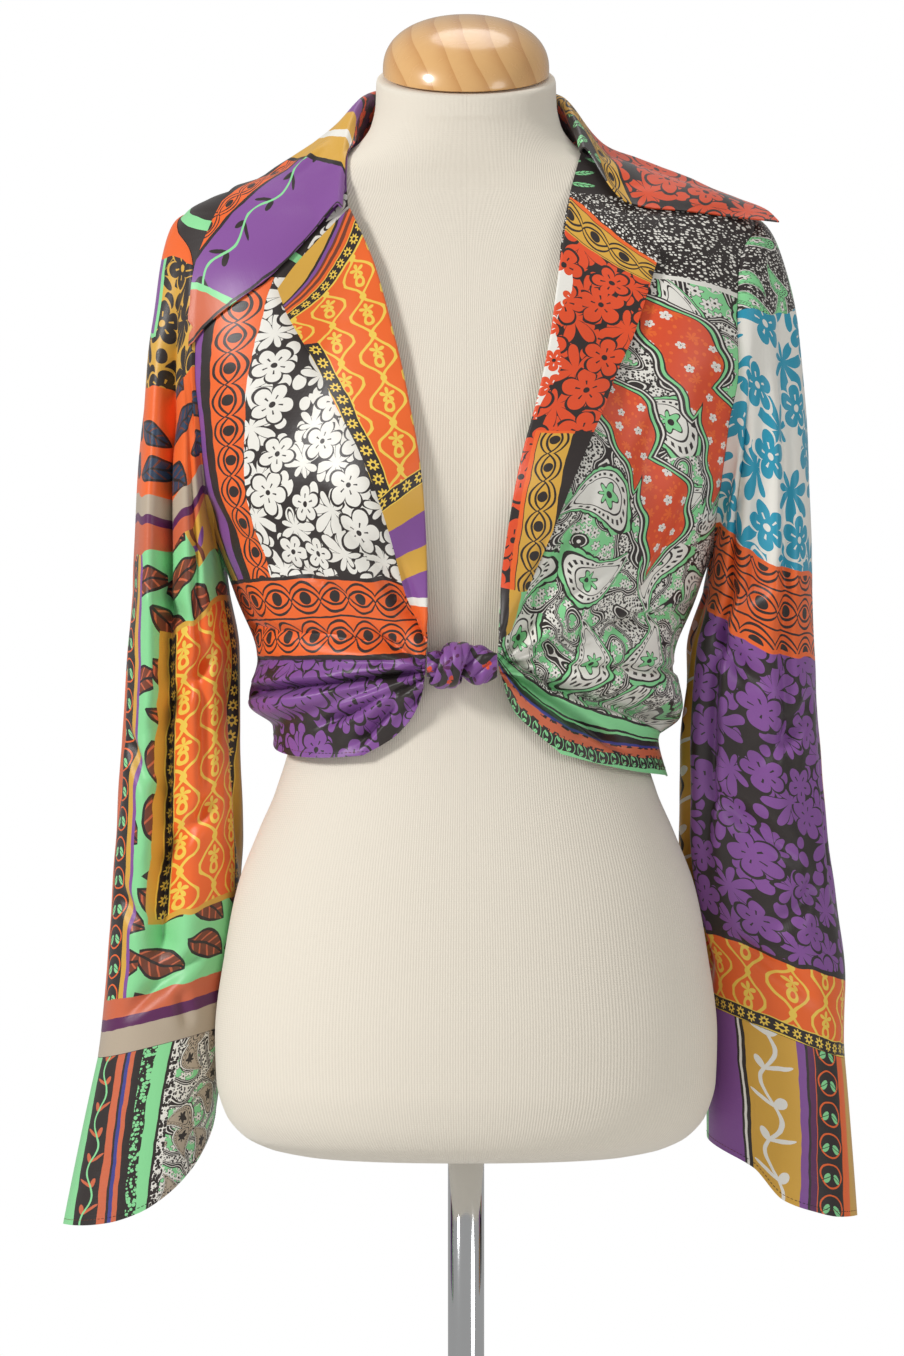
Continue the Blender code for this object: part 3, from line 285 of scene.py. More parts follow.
# Sleeve creases, by the way round from the sleeve's front (outer side negative) and height.
RIGHT_SLEEVE_CREASES = rows_of("""
    -14 510 -8 175 8 5 | 14 470 20 240 7 3 |
    -40 420 10 372 8 3.4 | 30 360 -20 300 8 3.6 | -50 300 -6 252 9 3.8 | 34 262 -16 206 8 3.4 |
    -44 190 4 150 9 3.2 | 26 150 -24 108 8 3 | 56 330 70 210 8 4 | -70 380 -60 250 9 3 |
    90 420 110 330 9 4 | 120 300 100 200 9 4 | -120 400 -110 260 10 4 | 10 120 20 88 7 2 |
    -20 600 -6 500 10 3 | 30 590 24 500 8 3
""")
LEFT_SLEEVE_CREASES = rows_of("""
    22 480 34 210 8 4.6 | -18 470 -22 260 9 3 |
    -36 430 14 392 9 3 | 40 380 -6 330 9 3.4 | -46 320 2 280 9 3.2 | 30 262 -22 214 9 3.4 |
    -40 200 6 160 9 3 | 26 158 -20 120 8 2.8 | -30 600 -20 480 14 3.6 | 20 560 28 440 12 3.4 |
    70 420 86 300 9 4 | 110 330 100 210 9 4 | -110 420 -104 280 10 4 | -66 300 -60 180 9 3
""")


def form_point(turn, height):
    """A point of the torso's skin, at a turn from the front centre towards +X."""
    across, along = np.sin(turn), np.cos(turn)
    depth = np.where(along > 0, FORM("front", height), FORM("back", height))
    radius = (
        (np.abs(across) / FORM("half_width", height)) ** SQUARENESS
        + (np.abs(along) / depth) ** SQUARENESS
    ) ** (-1 / SQUARENESS)
    from_apex = (np.abs(turn) - BUST_TURN) / BUST_WIDE
    below = (height - BUST_HEIGHT) / BUST_TALL
    radius = radius + BUST_RISE * np.exp(-(from_apex**2) - below**2)
    y = -radius * along
    tilt = NECK_SLANT * ease_in(height, NECK_SLANT_FROM, NECK_TOP) * (y - NECK_CENTRE_Y)
    return np.stack(np.broadcast_arrays(radius * across, y, height + tilt), axis=-1)


def signed_turn(turn):
    """The same turn from -half a turn to +half."""
    return (turn + math.pi) % FULL_TURN - math.pi


def unit(v):
    return v / np.maximum(np.linalg.norm(v, axis=-1, keepdims=True), 1e-9)


def form_normal(turn, height):
    around = form_point(turn + 0.01, height) - form_point(turn - 0.01, height)
    upward = form_point(turn, height + 0.8) - form_point(turn, height - 0.8)
    return unit(np.cross(around, upward))


def trough(away):
    """A fold's section: 1 in its middle, just under 0 beside it, where a ridge stands."""
    return (1 - 0.8 * away**2) * np.exp(-(away**2))


def folds(x, height, rows):
    """The sum of troughs from one place to another, each faded at its ends."""
    total = np.zeros(np.broadcast(x, height).shape)
    for from_x, from_height, to_x, to_height, width, depth in rows:
        run = np.array([to_x - from_x, to_height - from_height])
        offset = np.stack(np.broadcast_arrays(x - from_x, height - from_height), axis=-1)
        share = (offset @ run) / (run @ run)
        away = (offset[..., 0] * run[1] - offset[..., 1] * run[0]) / math.hypot(*run)
        ends = ease_in(share, -0.15, 0.25) * ease_in(share, 1.15, 0.75)
        total = total - depth * trough(away / width) * ends
    return total


def ripple(a, b):
    """Faint, uneven waves of the cloth, about 1 at most."""
    waves = ((0.071, 0.023, 0.4), (-0.043, 0.061, 1.9), (0.019, 0.087, 3.1), (0.11, -0.047, 5.0))
    return sum(np.sin(a * p + b * q + r + 0.8 * np.sin(a * q - b * p)) for p, q, r in waves) / 3


def gathers(base):
    """Ridges that spread from each side of the knot over the fronts, in rays."""
    x, y, height = base[..., 0], base[..., 1], base[..., 2]
    out = np.abs(x) - 16
    reach = np.hypot(out, height - KNOT_HEIGHT)
    ray = np.arctan2(height - KNOT_HEIGHT, out)
    fade = ease_in(reach, 0, 26) * ease_in(reach, 105, 40) * ease_in(-y, 0, 40)
    fine = ease_in(reach, 3, 14) * ease_in(reach, 58, 22) * ease_in(-y, 0, 40)
    lean = 0.6 * np.sign(x)
    return 4.0 * np.cos(ray * 9 + lean) * fade + 2.0 * np.cos(ray * 19 - 2 * lean) * fine


def body_lift(turn, height):
    """How far the cloth's middle stands off the torso."""
    turns = np.radians([0, 45, 75, 90, 110, 135, 180])
    knots = [EASE(f"at_{round(math.degrees(k))}", height) for k in turns]
    away = np.abs(signed_turn(turn))
    lift = np.zeros(np.broadcast(turn, height).shape)
    for k in range(len(turns) - 1):
        inside = (away >= turns[k]) & (away <= turns[k + 1])
        share = ease_in(away, turns[k], turns[k + 1])
        lift = np.where(inside, knots[k] * (1 - share) + knots[k + 1] * share, lift)
    signed = np.degrees(signed_turn(turn))
    above = height - WAIST_CREASE("height", signed) - 1.6 * np.sin(signed * 0.11)
    swell = 14 * ease_in(above, -2, 13) * np.exp(-((np.maximum(above - 13, 0) / 27) ** 2))
    swell = swell * (0.35 + 0.65 * ease_in(away, math.radians(10), math.radians(70)))
    base = form_point(turn, height)
    x = base[..., 0]
    in_front = np.cos(turn) > 0
    knot = np.exp(-((np.abs(x) / 42) ** 2) - ((height - KNOT_HEIGHT) / 34) ** 2)
    soft = np.where(in_front, folds(x, height, FRONT_FOLDS), folds(x, height, BACK_FOLDS))
    soft = soft * ease_in(np.abs(np.cos(turn)), 0.0, 0.2)
    fine = np.where(in_front, folds(x, height, FRONT_CREASES), folds(x, height, BACK_CREASES))
    fine = 1.75 * fine * ease_in(np.abs(np.cos(turn)), 0.0, 0.12)
    flow = 0.45 * ripple(signed * 2.6, height) * ease_in(lift, 2, 9)
    lift = lift + swell + np.where(in_front, 9 * knot, 0.0) + soft + fine + flow
    return np.maximum(lift + gathers(base), 1.5)


def cloth_point(turn, height, more=0.0):
    lift = (body_lift(turn, height) + more)[..., None]
    return form_point(turn, height) + form_normal(turn, height) * lift


def turn_at(x, height):
    """The turn where the torso's skin is x millimetres from the centre."""
    low = np.zeros(np.broadcast(x, height).shape)
    high = low + math.pi / 2
    for _ in range(20):
        turn = (low + high) / 2
        short = form_point(turn, height)[..., 0] < x
        low, high = np.where(short, turn, low), np.where(short, high, turn)
    return (low + high) / 2


# The shoulder is nearly level, so rows are spaced by the length of the side's outline.
FINE_HEIGHTS = np.linspace(250, 720, 941)
SIDE_LENGTH = np.concatenate(
    [[0], np.cumsum(np.hypot(np.diff(FINE_HEIGHTS), np.diff(FORM("half_width", FINE_HEIGHTS))))]
)


def to_length(height):
    return np.interp(height, FINE_HEIGHTS, SIDE_LENGTH)


def to_height(length):
    return np.interp(length, SIDE_LENGTH, FINE_HEIGHTS)


def row_shares():
    """Row positions, closest at the shoulder. The underarm falls on row ARMHOLE_FROM."""
    low = np.linspace(0, UNDERARM_SHARE, ARMHOLE_FROM + 1)
    step = np.linspace(0, 1, ROWS - ARMHOLE_FROM)[1:]
    return np.concatenate([low, 1 - (1 - UNDERARM_SHARE) * (1 - step) ** 1.25])


def front_places(table):
    """(turn, height) of a front's grid, row by row from the hem to the shoulder seam."""
    v = row_shares()[:, None]
    u = np.linspace(0, 1, FRONT_COLUMNS)[None, :]
    edge_turn = turn_at(table.spread("edge_x", v), table.spread("edge_height", v))
    side_turn = np.radians(table.spread("side_turn", v))
    turn = edge_turn + (side_turn - edge_turn) * u
    low = to_length(table.spread("edge_height", v))
    high = to_length(table.spread("side_height", v))
    length = low + (high - low) * u + table.spread("sag", v) * np.sin(math.pi * u)
    return turn, to_height(length)


def back_places():
    """(turn, height) of the back's grid, from the wearer's left side round to the right."""
    v = row_shares()[:, None]
    u = np.linspace(-1, 1, BACK_COLUMNS)[None, :]
    turn = math.pi + (math.pi - np.radians(BACK.spread("side_turn", v))) * u
    left = to_length(LEFT_FRONT.spread("side_height", v))
    right = to_length(RIGHT_FRONT.spread("side_height", v))
    centre = to_length(BACK.spread("centre_height", v))
    length = centre + (np.where(u < 0, left, right) - centre) * u**2
    # The top row follows the shoulder seams and then the neckline.
    reach = np.abs(u)
    on_neck = reach < NECK_SHARE
    neck_turn = np.sign(u) * math.pi / 2 * np.where(on_neck, reach / NECK_SHARE, 1.0)
    side, shoulder = to_length(NECK_SIDE), to_length(SHOULDER_END)
    middle = to_length(BACK.columns["centre_height"][-1])
    neck_length = np.where(
        on_neck,
        middle + (side - middle) * (reach / NECK_SHARE) ** 2,
        side + (shoulder - side) * (reach - NECK_SHARE) / (1 - NECK_SHARE),
    )
    top = ease_in(v, 0.62, 1.0)
    turn = turn * (1 - top) + (math.pi + neck_turn) * top
    return turn, to_height(length * (1 - top) + neck_length * top)


def grid_normals(grid, closed):
    """A normal for each point of a grid whose columns may run round a tube."""
    if closed:
        padded = np.concatenate([grid[:, -1:], grid, grid[:, :1]], axis=1)
        across = padded[:, 2:] - padded[:, :-2]
    else:
        across = np.gradient(grid, axis=1)
    return unit(np.cross(across, np.gradient(grid, axis=0)))


def cell_corners(field, axis):
    """The four corners of each cell of a grid, stacked along an axis."""
    return np.stack([field[:-1, :-1], field[:-1, 1:], field[1:, 1:], field[1:, :-1]], axis)


def grid_quads(grid, closed=False):
    """A grid's own index, and the quads between its points."""
    rows, columns = grid.shape[:2]
    index = np.arange(rows * columns).reshape(rows, columns)
    if closed:
        index = np.concatenate([index, index[:, :1]], axis=1)
    return index, cell_corners(index, -1)


def run_along(points, axis=0):
    """The distance along each line of a grid, from 0 at its first point."""
    step = np.linalg.norm(np.diff(points, axis=axis), axis=-1)
    return np.concatenate([np.zeros_like(step.take([0], axis)), np.cumsum(step, axis)], axis)


def clear_of(points, layers, gap, beside_reach=6.0, passes=3):
    """Points moved out from the nearest surface until they are clear of it."""
    corners, faces, signs = [], [], []
    for grid, sign, closed in layers:
        quads = grid_quads(grid, closed)[1].reshape(-1, 4)
        faces += (quads + len(corners)).tolist()
        signs += [sign] * len(quads)
        corners += grid.reshape(-1, 3).tolist()
    tree = BVHTree.FromPolygons(corners, faces)
    flat = points.reshape(-1, 3).copy()
    for _ in range(passes):
        for i, point in enumerate(flat):
            place, normal, face, distance = tree.find_nearest(point)
            normal = np.array(normal) * signs[face]
            depth = (point - np.array(place)) @ normal
            if depth < gap:
                beside = max(distance**2 - depth**2, 0) / beside_reach**2
                flat[i] = point + normal * (gap - depth) * math.exp(-beside)
    return flat.reshape(points.shape)


@lru_cache(None)
def torso_grid():
    heights = [np.linspace(10, 24, 8), np.linspace(27, 600, 150), np.linspace(602, NECK_TOP, 96)]
    turns = signed_turn(np.linspace(0, FULL_TURN, 144, endpoint=False))
    return form_point(turns[None, :], np.concatenate(heights)[:, None])


def over_torso(turn, height):
    return clear_of(cloth_point(turn, height), [(torso_grid(), 1, True)], TORSO_GAP, passes=2)


@lru_cache(None)
def front_grid(side):
    """A front's middle points; side is +1 for the wearer's left front and -1 for the right."""
    turn, height = front_places(LEFT_FRONT if side > 0 else RIGHT_FRONT)
    grid = over_torso(turn * side, height)
    return grid, np.stack([turn * side * BODY_ROUND, to_length(height)], -1)


@lru_cache(None)
def back_grid():
    turn, height = back_places()
    grid = over_torso(turn, height)
    return grid, np.stack([(turn - math.pi) * BODY_ROUND, to_length(height)], -1)


@lru_cache(None)
def lapel_grid(side):
    """A lapel rolled over its front's free edge and laid on the front."""
    table = LEFT_LAPEL if side > 0 else RIGHT_LAPEL
    v = np.linspace(0, 1, LAPEL_ROWS)[:, None]
    u = np.linspace(0.0, 1, LAPEL_COLUMNS)[None, :]
    fold_height, edge_height = table.spread("fold_height", v), table.spread("edge_height", v)
    fold = turn_at(table.spread("fold_x", v), fold_height)
    edge = turn_at(table.spread("edge_x", v), edge_height)
    turn = (fold + (edge - fold) * u) * side
    low, high = to_length(fold_height), to_length(edge_height)
    height = to_height(low + (high - low) * u)
    more = 1.8 + 3.6 * u * ease_in(v, 0, 0.5) + 0.5 * ripple(u * 60, v * 330) * u
    flat = cloth_point(turn, height, more)
    flat = clear_of(flat, [(front_grid(side)[0], side, False)], LAPEL_GAP)
    # The roll goes round the front's free edge, from under it.
    first, out = flat[:, :1], unit(flat[:, :1] - flat[:, 2:3])
    up = grid_normals(flat, False)[:, :1] * side
    bend = np.linspace(-1.35, 1.3, ROLL_COLUMNS)[None, :, None]
    roll = first + out * (0.5 + 1.1 * np.cos(bend)) + up * 0.95 * (np.sin(bend) - 1)
    grid = np.concatenate([roll, flat], axis=1)
    return grid, along_and_across(grid, ROLL_COLUMNS)


def along_and_across(grid, column):
    """A cloth map of (way across, way along), measured on the grid from one column."""
    across = run_along(grid, 1)
    across = across - across[:, column : column + 1]
    return np.stack(np.broadcast_arrays(across, run_along(grid[:, column])[:, None]), -1)


def collar_half(table, side, shares):
    """Profiles of half the collar: up the stand, over the fold and down the fall."""
    seam_turn = np.radians(table.spread("seam_turn", shares)) * side
    seam = cloth_point(seam_turn, table.spread("seam_height", shares), 1.8)
    mirror = np.array([side, 1, 1])
    fold, middle, edge = (
        np.stack([table.spread(f"{line}_{k}", shares) for k in ("x", "y", "height")], -1) * mirror
        for line in ("fold", "middle", "edge")
    )
    outward = unit((edge - fold) * np.array([1, 1, 0]))
    up = np.array([0, 0, 1.0])
    stations = [
        seam,
        fold - outward * 2.6 - up * 1.6,
        fold + up * 1.0,
        fold + outward * 2.6 - up * 1.0,
        middle,
        edge,
    ]
    stations = np.stack(stations, axis=1)
    places = np.array([0, 0.3, 0.36, 0.42, 0.7, 1.0])
    stand = np.linspace(0, STAND_SHARE, STAND_COLUMNS + 1)[:-1]
    fall = np.linspace(STAND_SHARE, 1, COLLAR_COLUMNS - STAND_COLUMNS)
    at = np.concatenate([stand, fall])
    return np.stack(
        [[smooth(at, places, stations[i, :, k]) for k in range(3)] for i in range(len(shares))]
    ).transpose(0, 2, 1)


@lru_cache(None)
def collar_grid():
    shares = np.linspace(0, 1, (COLLAR_STATIONS + 1) // 2)
    right = collar_half(RIGHT_COLLAR, -1, shares)[::-1]
    grid = np.concatenate([right, collar_half(LEFT_COLLAR, 1, shares)[1:]])
    sides = (-1, 1)
    layers = [(front_grid(side)[0], side, False) for side in sides]
    layers.append((back_grid()[0], 1, False))
    layers += [(lapel_grid(side)[0][:, ROLL_COLUMNS:], side, False) for side in sides]
    layers += [(sleeve_grid(side)[0], side, True) for side in sides]
    uv = along_and_across(grid, FOLD_COLUMN)[..., ::-1]
    along = uv[..., 0] - uv[COLLAR_STATIONS // 2, 0, 0]
    depth = folds(along, uv[..., 1], COLLAR_CREASES) * ease_in(uv[..., 1], 2, 20)
    grid = grid + grid_normals(grid, False) * depth[..., None]
    stand, fall = grid[:, :STAND_COLUMNS], grid[:, STAND_COLUMNS:]
    grid = np.concatenate(
        [clear_of(stand, layers, STAND_GAP), clear_of(fall, layers, FALL_GAP)], axis=1
    )
    uv = along_and_across(grid, FOLD_COLUMN)[..., ::-1]
    uv[..., 0] -= uv[COLLAR_STATIONS // 2, 0, 0]
    return grid, uv


def sleeve_section(side, height, turns):
    """One ring of a sleeve below the underarm; turns run from its outer side to its front."""
    table = LEFT_SLEEVE if side > 0 else RIGHT_SLEEVE
    outer, inner = table("outer", height), table("inner", height)
    half_width, half_depth = (outer - inner) / 2, table("half_depth", height)
    mean = (half_width + half_depth) / 2
    reach = 1.0 + np.zeros_like(turns)
    for turn, top, bottom, width, depth in LEFT_SLEEVE_FOLDS if side > 0 else RIGHT_SLEEVE_FOLDS:
        away = np.radians((np.degrees(turns) - turn + 180) % 360 - 180) * mean
        along = ease_in(height, bottom - 30, bottom + 50) * ease_in(height, top + 30, top - 50)
        reach = reach - depth / mean * trough(away / width) * along
    reach = reach + sleeve_detail(side, turns, height) * ease_in(height, 84, 104) / mean
    round_x = np.sign(np.cos(turns)) * np.abs(np.cos(turns)) ** 0.82
    round_y = np.sign(np.sin(turns)) * np.abs(np.sin(turns)) ** 0.82
    x = (outer + inner) / 2 + half_width * round_x * reach
    y = table("centre_y", height) - half_depth * round_y * reach
    z = height - table("slope", height) * (x - (outer + inner) / 2)
    return np.stack([x * side, y, z], axis=-1)


def sleeve_detail(side, turns, height):
    """Fine creases and waves on a sleeve, in millimetres outwards."""
    way = signed_turn(turns - math.pi / 2) * CREASE_ROUND
    fine = folds(way, height, LEFT_SLEEVE_CREASES if side > 0 else RIGHT_SLEEVE_CREASES)
    blend = ease_in(np.abs(way), CREASE_ROUND * math.pi, CREASE_ROUND * math.pi - 20)
    return 1.7 * fine + 1.1 * ripple(way * 0.8 + 90 * side, height * 0.8) * blend


@lru_cache(None)
def sleeve_grid(side):
    """Rings from the armhole's own points to the cuff's seam."""
    table = LEFT_SLEEVE if side > 0 else RIGHT_SLEEVE
    front, back = front_grid(side)[0], back_grid()[0]
    front_rim = front[ARMHOLE_FROM:, -1][::-1]
    back_rim = back[ARMHOLE_FROM:, 0 if side > 0 else -1]
    rim = np.concatenate([front_rim, back_rim[1:-1]])
    middle = (rim.max(0) + rim.min(0)) / 2
    turns = np.linspace(0, FULL_TURN, len(rim), endpoint=False)
    top_height = table.key[-1]
    ring = sleeve_section(side, top_height, turns)
    spoke = unit((rim - middle) * np.array([0, 1, 1]))
    leave = unit(np.array([side, 0, -0.35]) + 0.25 * spoke)
    start = rim + leave * 0.6
    way = np.linalg.norm(ring - start, axis=1)[:, None]
    pull = np.clip(way * (0.42 if side > 0 else 0.2), 14, None)
    fall = np.array([0, 0, -1.0]) * np.clip(way * 0.9, 14, None)
    outward = unit(np.array([side, 0, 0]) + 0.9 * spoke)
    rings = []
    for t in np.linspace(0, 1, CAP_RINGS, endpoint=False):
        place = (
            start * (1 + 2 * t) * (1 - t) ** 2
            + ring * t**2 * (3 - 2 * t)
            + leave * pull * t * (1 - t) ** 2
            - fall * t**2 * (1 - t)
        )
        detail = sleeve_detail(side, turns, place[:, 2])[:, None]
        rings.append(place + outward * detail * ease_in(t, 0.05, 0.4) * (1 - t) ** 0.5)
    for height in np.linspace(top_height, table.key[0], SLEEVE_RINGS):
        rings.append(sleeve_section(side, height, turns))
    grid = np.array(rings)
    down = run_along(grid)
    along = down[-1] - down
    along = np.concatenate([along, along[:, :1]], axis=1)
    around = np.linspace(0, FULL_TURN, len(rim) + 1) - math.pi / 2
    return grid, np.stack(np.broadcast_arrays(around * SLEEVE_ROUND, along), -1)


@lru_cache(None)
def cuff_grid(side):
    """A long pointed cuff, slit down its outer side, from the sleeve's last ring."""
    table = LEFT_SLEEVE if side > 0 else RIGHT_SLEEVE
    sleeve_end = sleeve_grid(side)[0][-1]
    turns = np.linspace(0, FULL_TURN, len(sleeve_end) + 1)
    top = np.concatenate([sleeve_end, sleeve_end[:1]])
    folded = np.degrees(np.minimum(turns, FULL_TURN - turns))
    low = CUFF_EDGE("left_height" if side > 0 else "right_height", folded)
    wrist = table.key[0]
    outer = table("outer", wrist) + (10 if side > 0 else 26)
    inner = table("inner", wrist) + (0 if side > 0 else 8)
    depth = table("half_depth", wrist) + 6
    rings = []
    for t in np.linspace(0, 1, CUFF_RINGS):
        slit = CUFF_SLIT * (0.06 + 0.94 * t)
        around = slit + (1 - slit / math.pi) * turns
        wave = 0.8 * t * ripple(np.degrees(turns), 40 * t)
        x = (outer + inner) / 2 + ((outer - inner) / 2 + wave) * np.cos(around)
        y = table("centre_y", wrist) - (depth + wave) * np.sin(around)
        share = t * (0.75 + 0.25 * t)
        rings.append(top * (1 - share) + np.stack([x * side, y, low], axis=-1) * share)
    grid = np.array(rings)
    for end, inside in ((0, 1), (-1, -2)):
        grid[0, end] += unit(grid[0, inside] - grid[0, end]) * 0.8
    grid[..., 2] -= 0.35
    around = (turns - math.pi / 2) * SLEEVE_ROUND
    return grid, np.stack(np.broadcast_arrays(around, -run_along(grid)), -1)


def pleats(count, way, sharp=0.7):
    """Rounded ridges with narrow creases between, about 0 on average."""
    return np.abs(np.cos(way * count / 2)) ** sharp - 0.68


def roll_grid():
    """The twisted roll of cloth that joins the two fronts' gathers."""
    turns = np.linspace(0, FULL_TURN, 120, endpoint=False)
    rings = []
    for x in np.linspace(ROLL.key[0], ROLL.key[-1], 90):
        pleat = 1 + 0.3 * pleats(5, turns + x * 0.09) + 0.07 * np.cos(3 * turns - x * 0.11)
        y = KNOT_Y + ROLL("half_depth", x) * np.cos(turns) * pleat
        z = ROLL_HEIGHT + ROLL("half_height", x) * np.sin(turns) * pleat
        rings.append(np.stack([np.full_like(y, x), y, z], axis=-1))
    return np.array(rings)


def knot_grid():
    """The knot's outer turn, a thick pleated band passed once round the roll."""
    around = np.linspace(0, FULL_TURN, 150, endpoint=False)[:, None]
    section = np.linspace(0, FULL_TURN, 80, endpoint=False)[None, :]
    half_wide = 9.5 * (1 + 0.14 * np.cos(around))
    thin = 1 - 0.22 * np.cos(around - 0.4)
    pleat = 1 + 0.3 * pleats(6, section + 0.9 * np.sin(around + 0.8))
    out = 3.5 * thin * (1 + np.cos(section) * pleat)
    x = -10 + half_wide * np.sin(section) * pleat + 4.5 * np.sin(around)
    y = KNOT_Y + (7.6 + out) * np.cos(around)
    z = ROLL_HEIGHT + (8.6 + out) * np.sin(around)
    return np.stack(np.broadcast_arrays(x, y, z), -1)


def new_mesh(name, points, quads, quad_map, material):
    """An object from quads, with the cloth map, in metres above the floor."""
    mesh = bpy.data.meshes.new(name)
    places = np.asarray(points, float) * MM + np.array([0, 0, LEVEL * MM])
    mesh.vertices.add(len(places))
    mesh.vertices.foreach_set("co", places.ravel())
    mesh.loops.add(quads.size)
    mesh.loops.foreach_set("vertex_index", quads.ravel())
    mesh.polygons.add(len(quads))
    mesh.polygons.foreach_set("loop_start", np.arange(0, quads.size, 4))
    mesh.update(calc_edges=True)
    layer = mesh.uv_layers.new(name="cloth")
    layer.data.foreach_set("uv", (np.asarray(quad_map, float) * MM).ravel())
    mesh.shade_smooth()
    mesh.set_sharp_from_angle(angle=math.radians(52))
    mesh.materials.append(material)
    thing = bpy.data.objects.new(name, mesh)
    bpy.context.scene.collection.objects.link(thing)
    return thing


def wall(name, made, material, side, thickness, closed=False):
    """A thin wall round a grid of middle points; a side of -1 turns its faces round.

    A closed one runs round a tube that is open at both ends, and its map is cut at the
    sleeve's inner side.
    """
    grid, uv = made
    normals = grid_normals(grid, closed) * side
    points = [(grid + normals * s * thickness / 2).reshape(-1, 3) for s in (1, -1)]
    count = grid.shape[0] * grid.shape[1]
    index, quads = grid_quads(grid, closed)
    maps = cell_corners(uv, 2)
    lines = [(index[0], uv[0], 1), (index[-1], uv[-1], -1)]
    if closed:
        past = np.arange(grid.shape[1]) >= round(grid.shape[1] * 0.75)
        maps[:, past, :, 0] -= FULL_TURN * SLEEVE_ROUND
    else:
        lines += [(index[:, 0], uv[:, 0], -1), (index[:, -1], uv[:, -1], 1)]
    faces, face_maps = [quads.reshape(-1, 4)], [maps.reshape(-1, 4, 2)]
    faces.append(faces[0][:, ::-1] + count)
    face_maps.append(face_maps[0][:, ::-1])
    for line, line_map, way in lines:
        a, b, am, bm = line[:-1], line[1:], line_map[:-1], line_map[1:]
        faces.append(np.stack([b, a, a + count, b + count], -1)[:, ::way])
        face_maps.append(np.stack([bm, am, am, bm], 1)[:, ::way])
    faces, face_maps = np.concatenate(faces)[:, ::side], np.concatenate(face_maps)[:, ::side]
    return new_mesh(name, np.concatenate(points), faces, face_maps, material)


def lathe(name, rings, material, loop=False):
    """A closed solid through rings of points, with ends closed to their middles, or a ring."""
    rings = np.asarray(rings)
    if not loop:
        ends = [np.broadcast_to(rings[k].mean(0), rings[k].shape)[None] for k in (0, -1)]
        rings = np.concatenate([ends[0], rings, ends[1]])
    rows, columns = rings.shape[:2]
    index = grid_quads(rings, True)[0]
    if loop:
        index = np.concatenate([index, index[:1]])
    span = np.linalg.norm(rings[rows // 2] - np.roll(rings[rows // 2], 1, 0), axis=-1).sum()
    step = np.linalg.norm(np.diff(rings, axis=0), axis=-1).mean(1)
    v = np.concatenate([[0], np.cumsum(step), [step.sum()]])[: index.shape[0]]
    u = np.linspace(0, span, columns + 1)
    uv = np.stack(np.broadcast_arrays(u[None, :], v[:, None]), -1)
    quads, maps = cell_corners(index, -1).reshape(-1, 4), cell_corners(uv, 2).reshape(-1, 4, 2)
    if loop:
        quads, maps = quads[:, ::-1], maps[:, ::-1]
    thing = new_mesh(name, rings.reshape(-1, 3), quads, maps, material)
    weld(thing)
    return thing


def weld(thing):
    """Joins points that share a place, and drops the faces that this leaves flat."""
    tool = bmesh.new()
    tool.from_mesh(thing.data)
    bmesh.ops.remove_doubles(tool, verts=tool.verts, dist=1e-6)
    tool.to_mesh(thing.data)
    tool.free()


def linear(value):
    """A screen value of 0 to 255 as light."""
    value = value / 255
    return value / 12.92 if value <= 0.04045 else ((value + 0.055) / 1.055) ** 2.4


class Signal:
    """A number that changes over a surface. Sums of signals become nodes."""

    def __init__(self, net, socket):
        self.net, self.socket = net, socket

    def __rsub__(self, other):
        return self.net.math("SUBTRACT", other, self)

    def __neg__(self):
        return self.net.math("MULTIPLY", self, -1.0)

    def __abs__(self):
        return self.net.math("ABSOLUTE", self)


def signal_rule(operation):
    """What a sign between a signal and another value stands for."""
    return lambda self, other: self.net.math(operation, self, other)


for sign, operation in (
    ("add", "ADD"), ("radd", "ADD"), ("sub", "SUBTRACT"), ("mul", "MULTIPLY"),
    ("rmul", "MULTIPLY"), ("truediv", "DIVIDE"), ("lt", "LESS_THAN"), ("gt", "GREATER_THAN"),
    ("and", "MULTIPLY"),
):
    setattr(Signal, f"__{sign}__", signal_rule(operation))


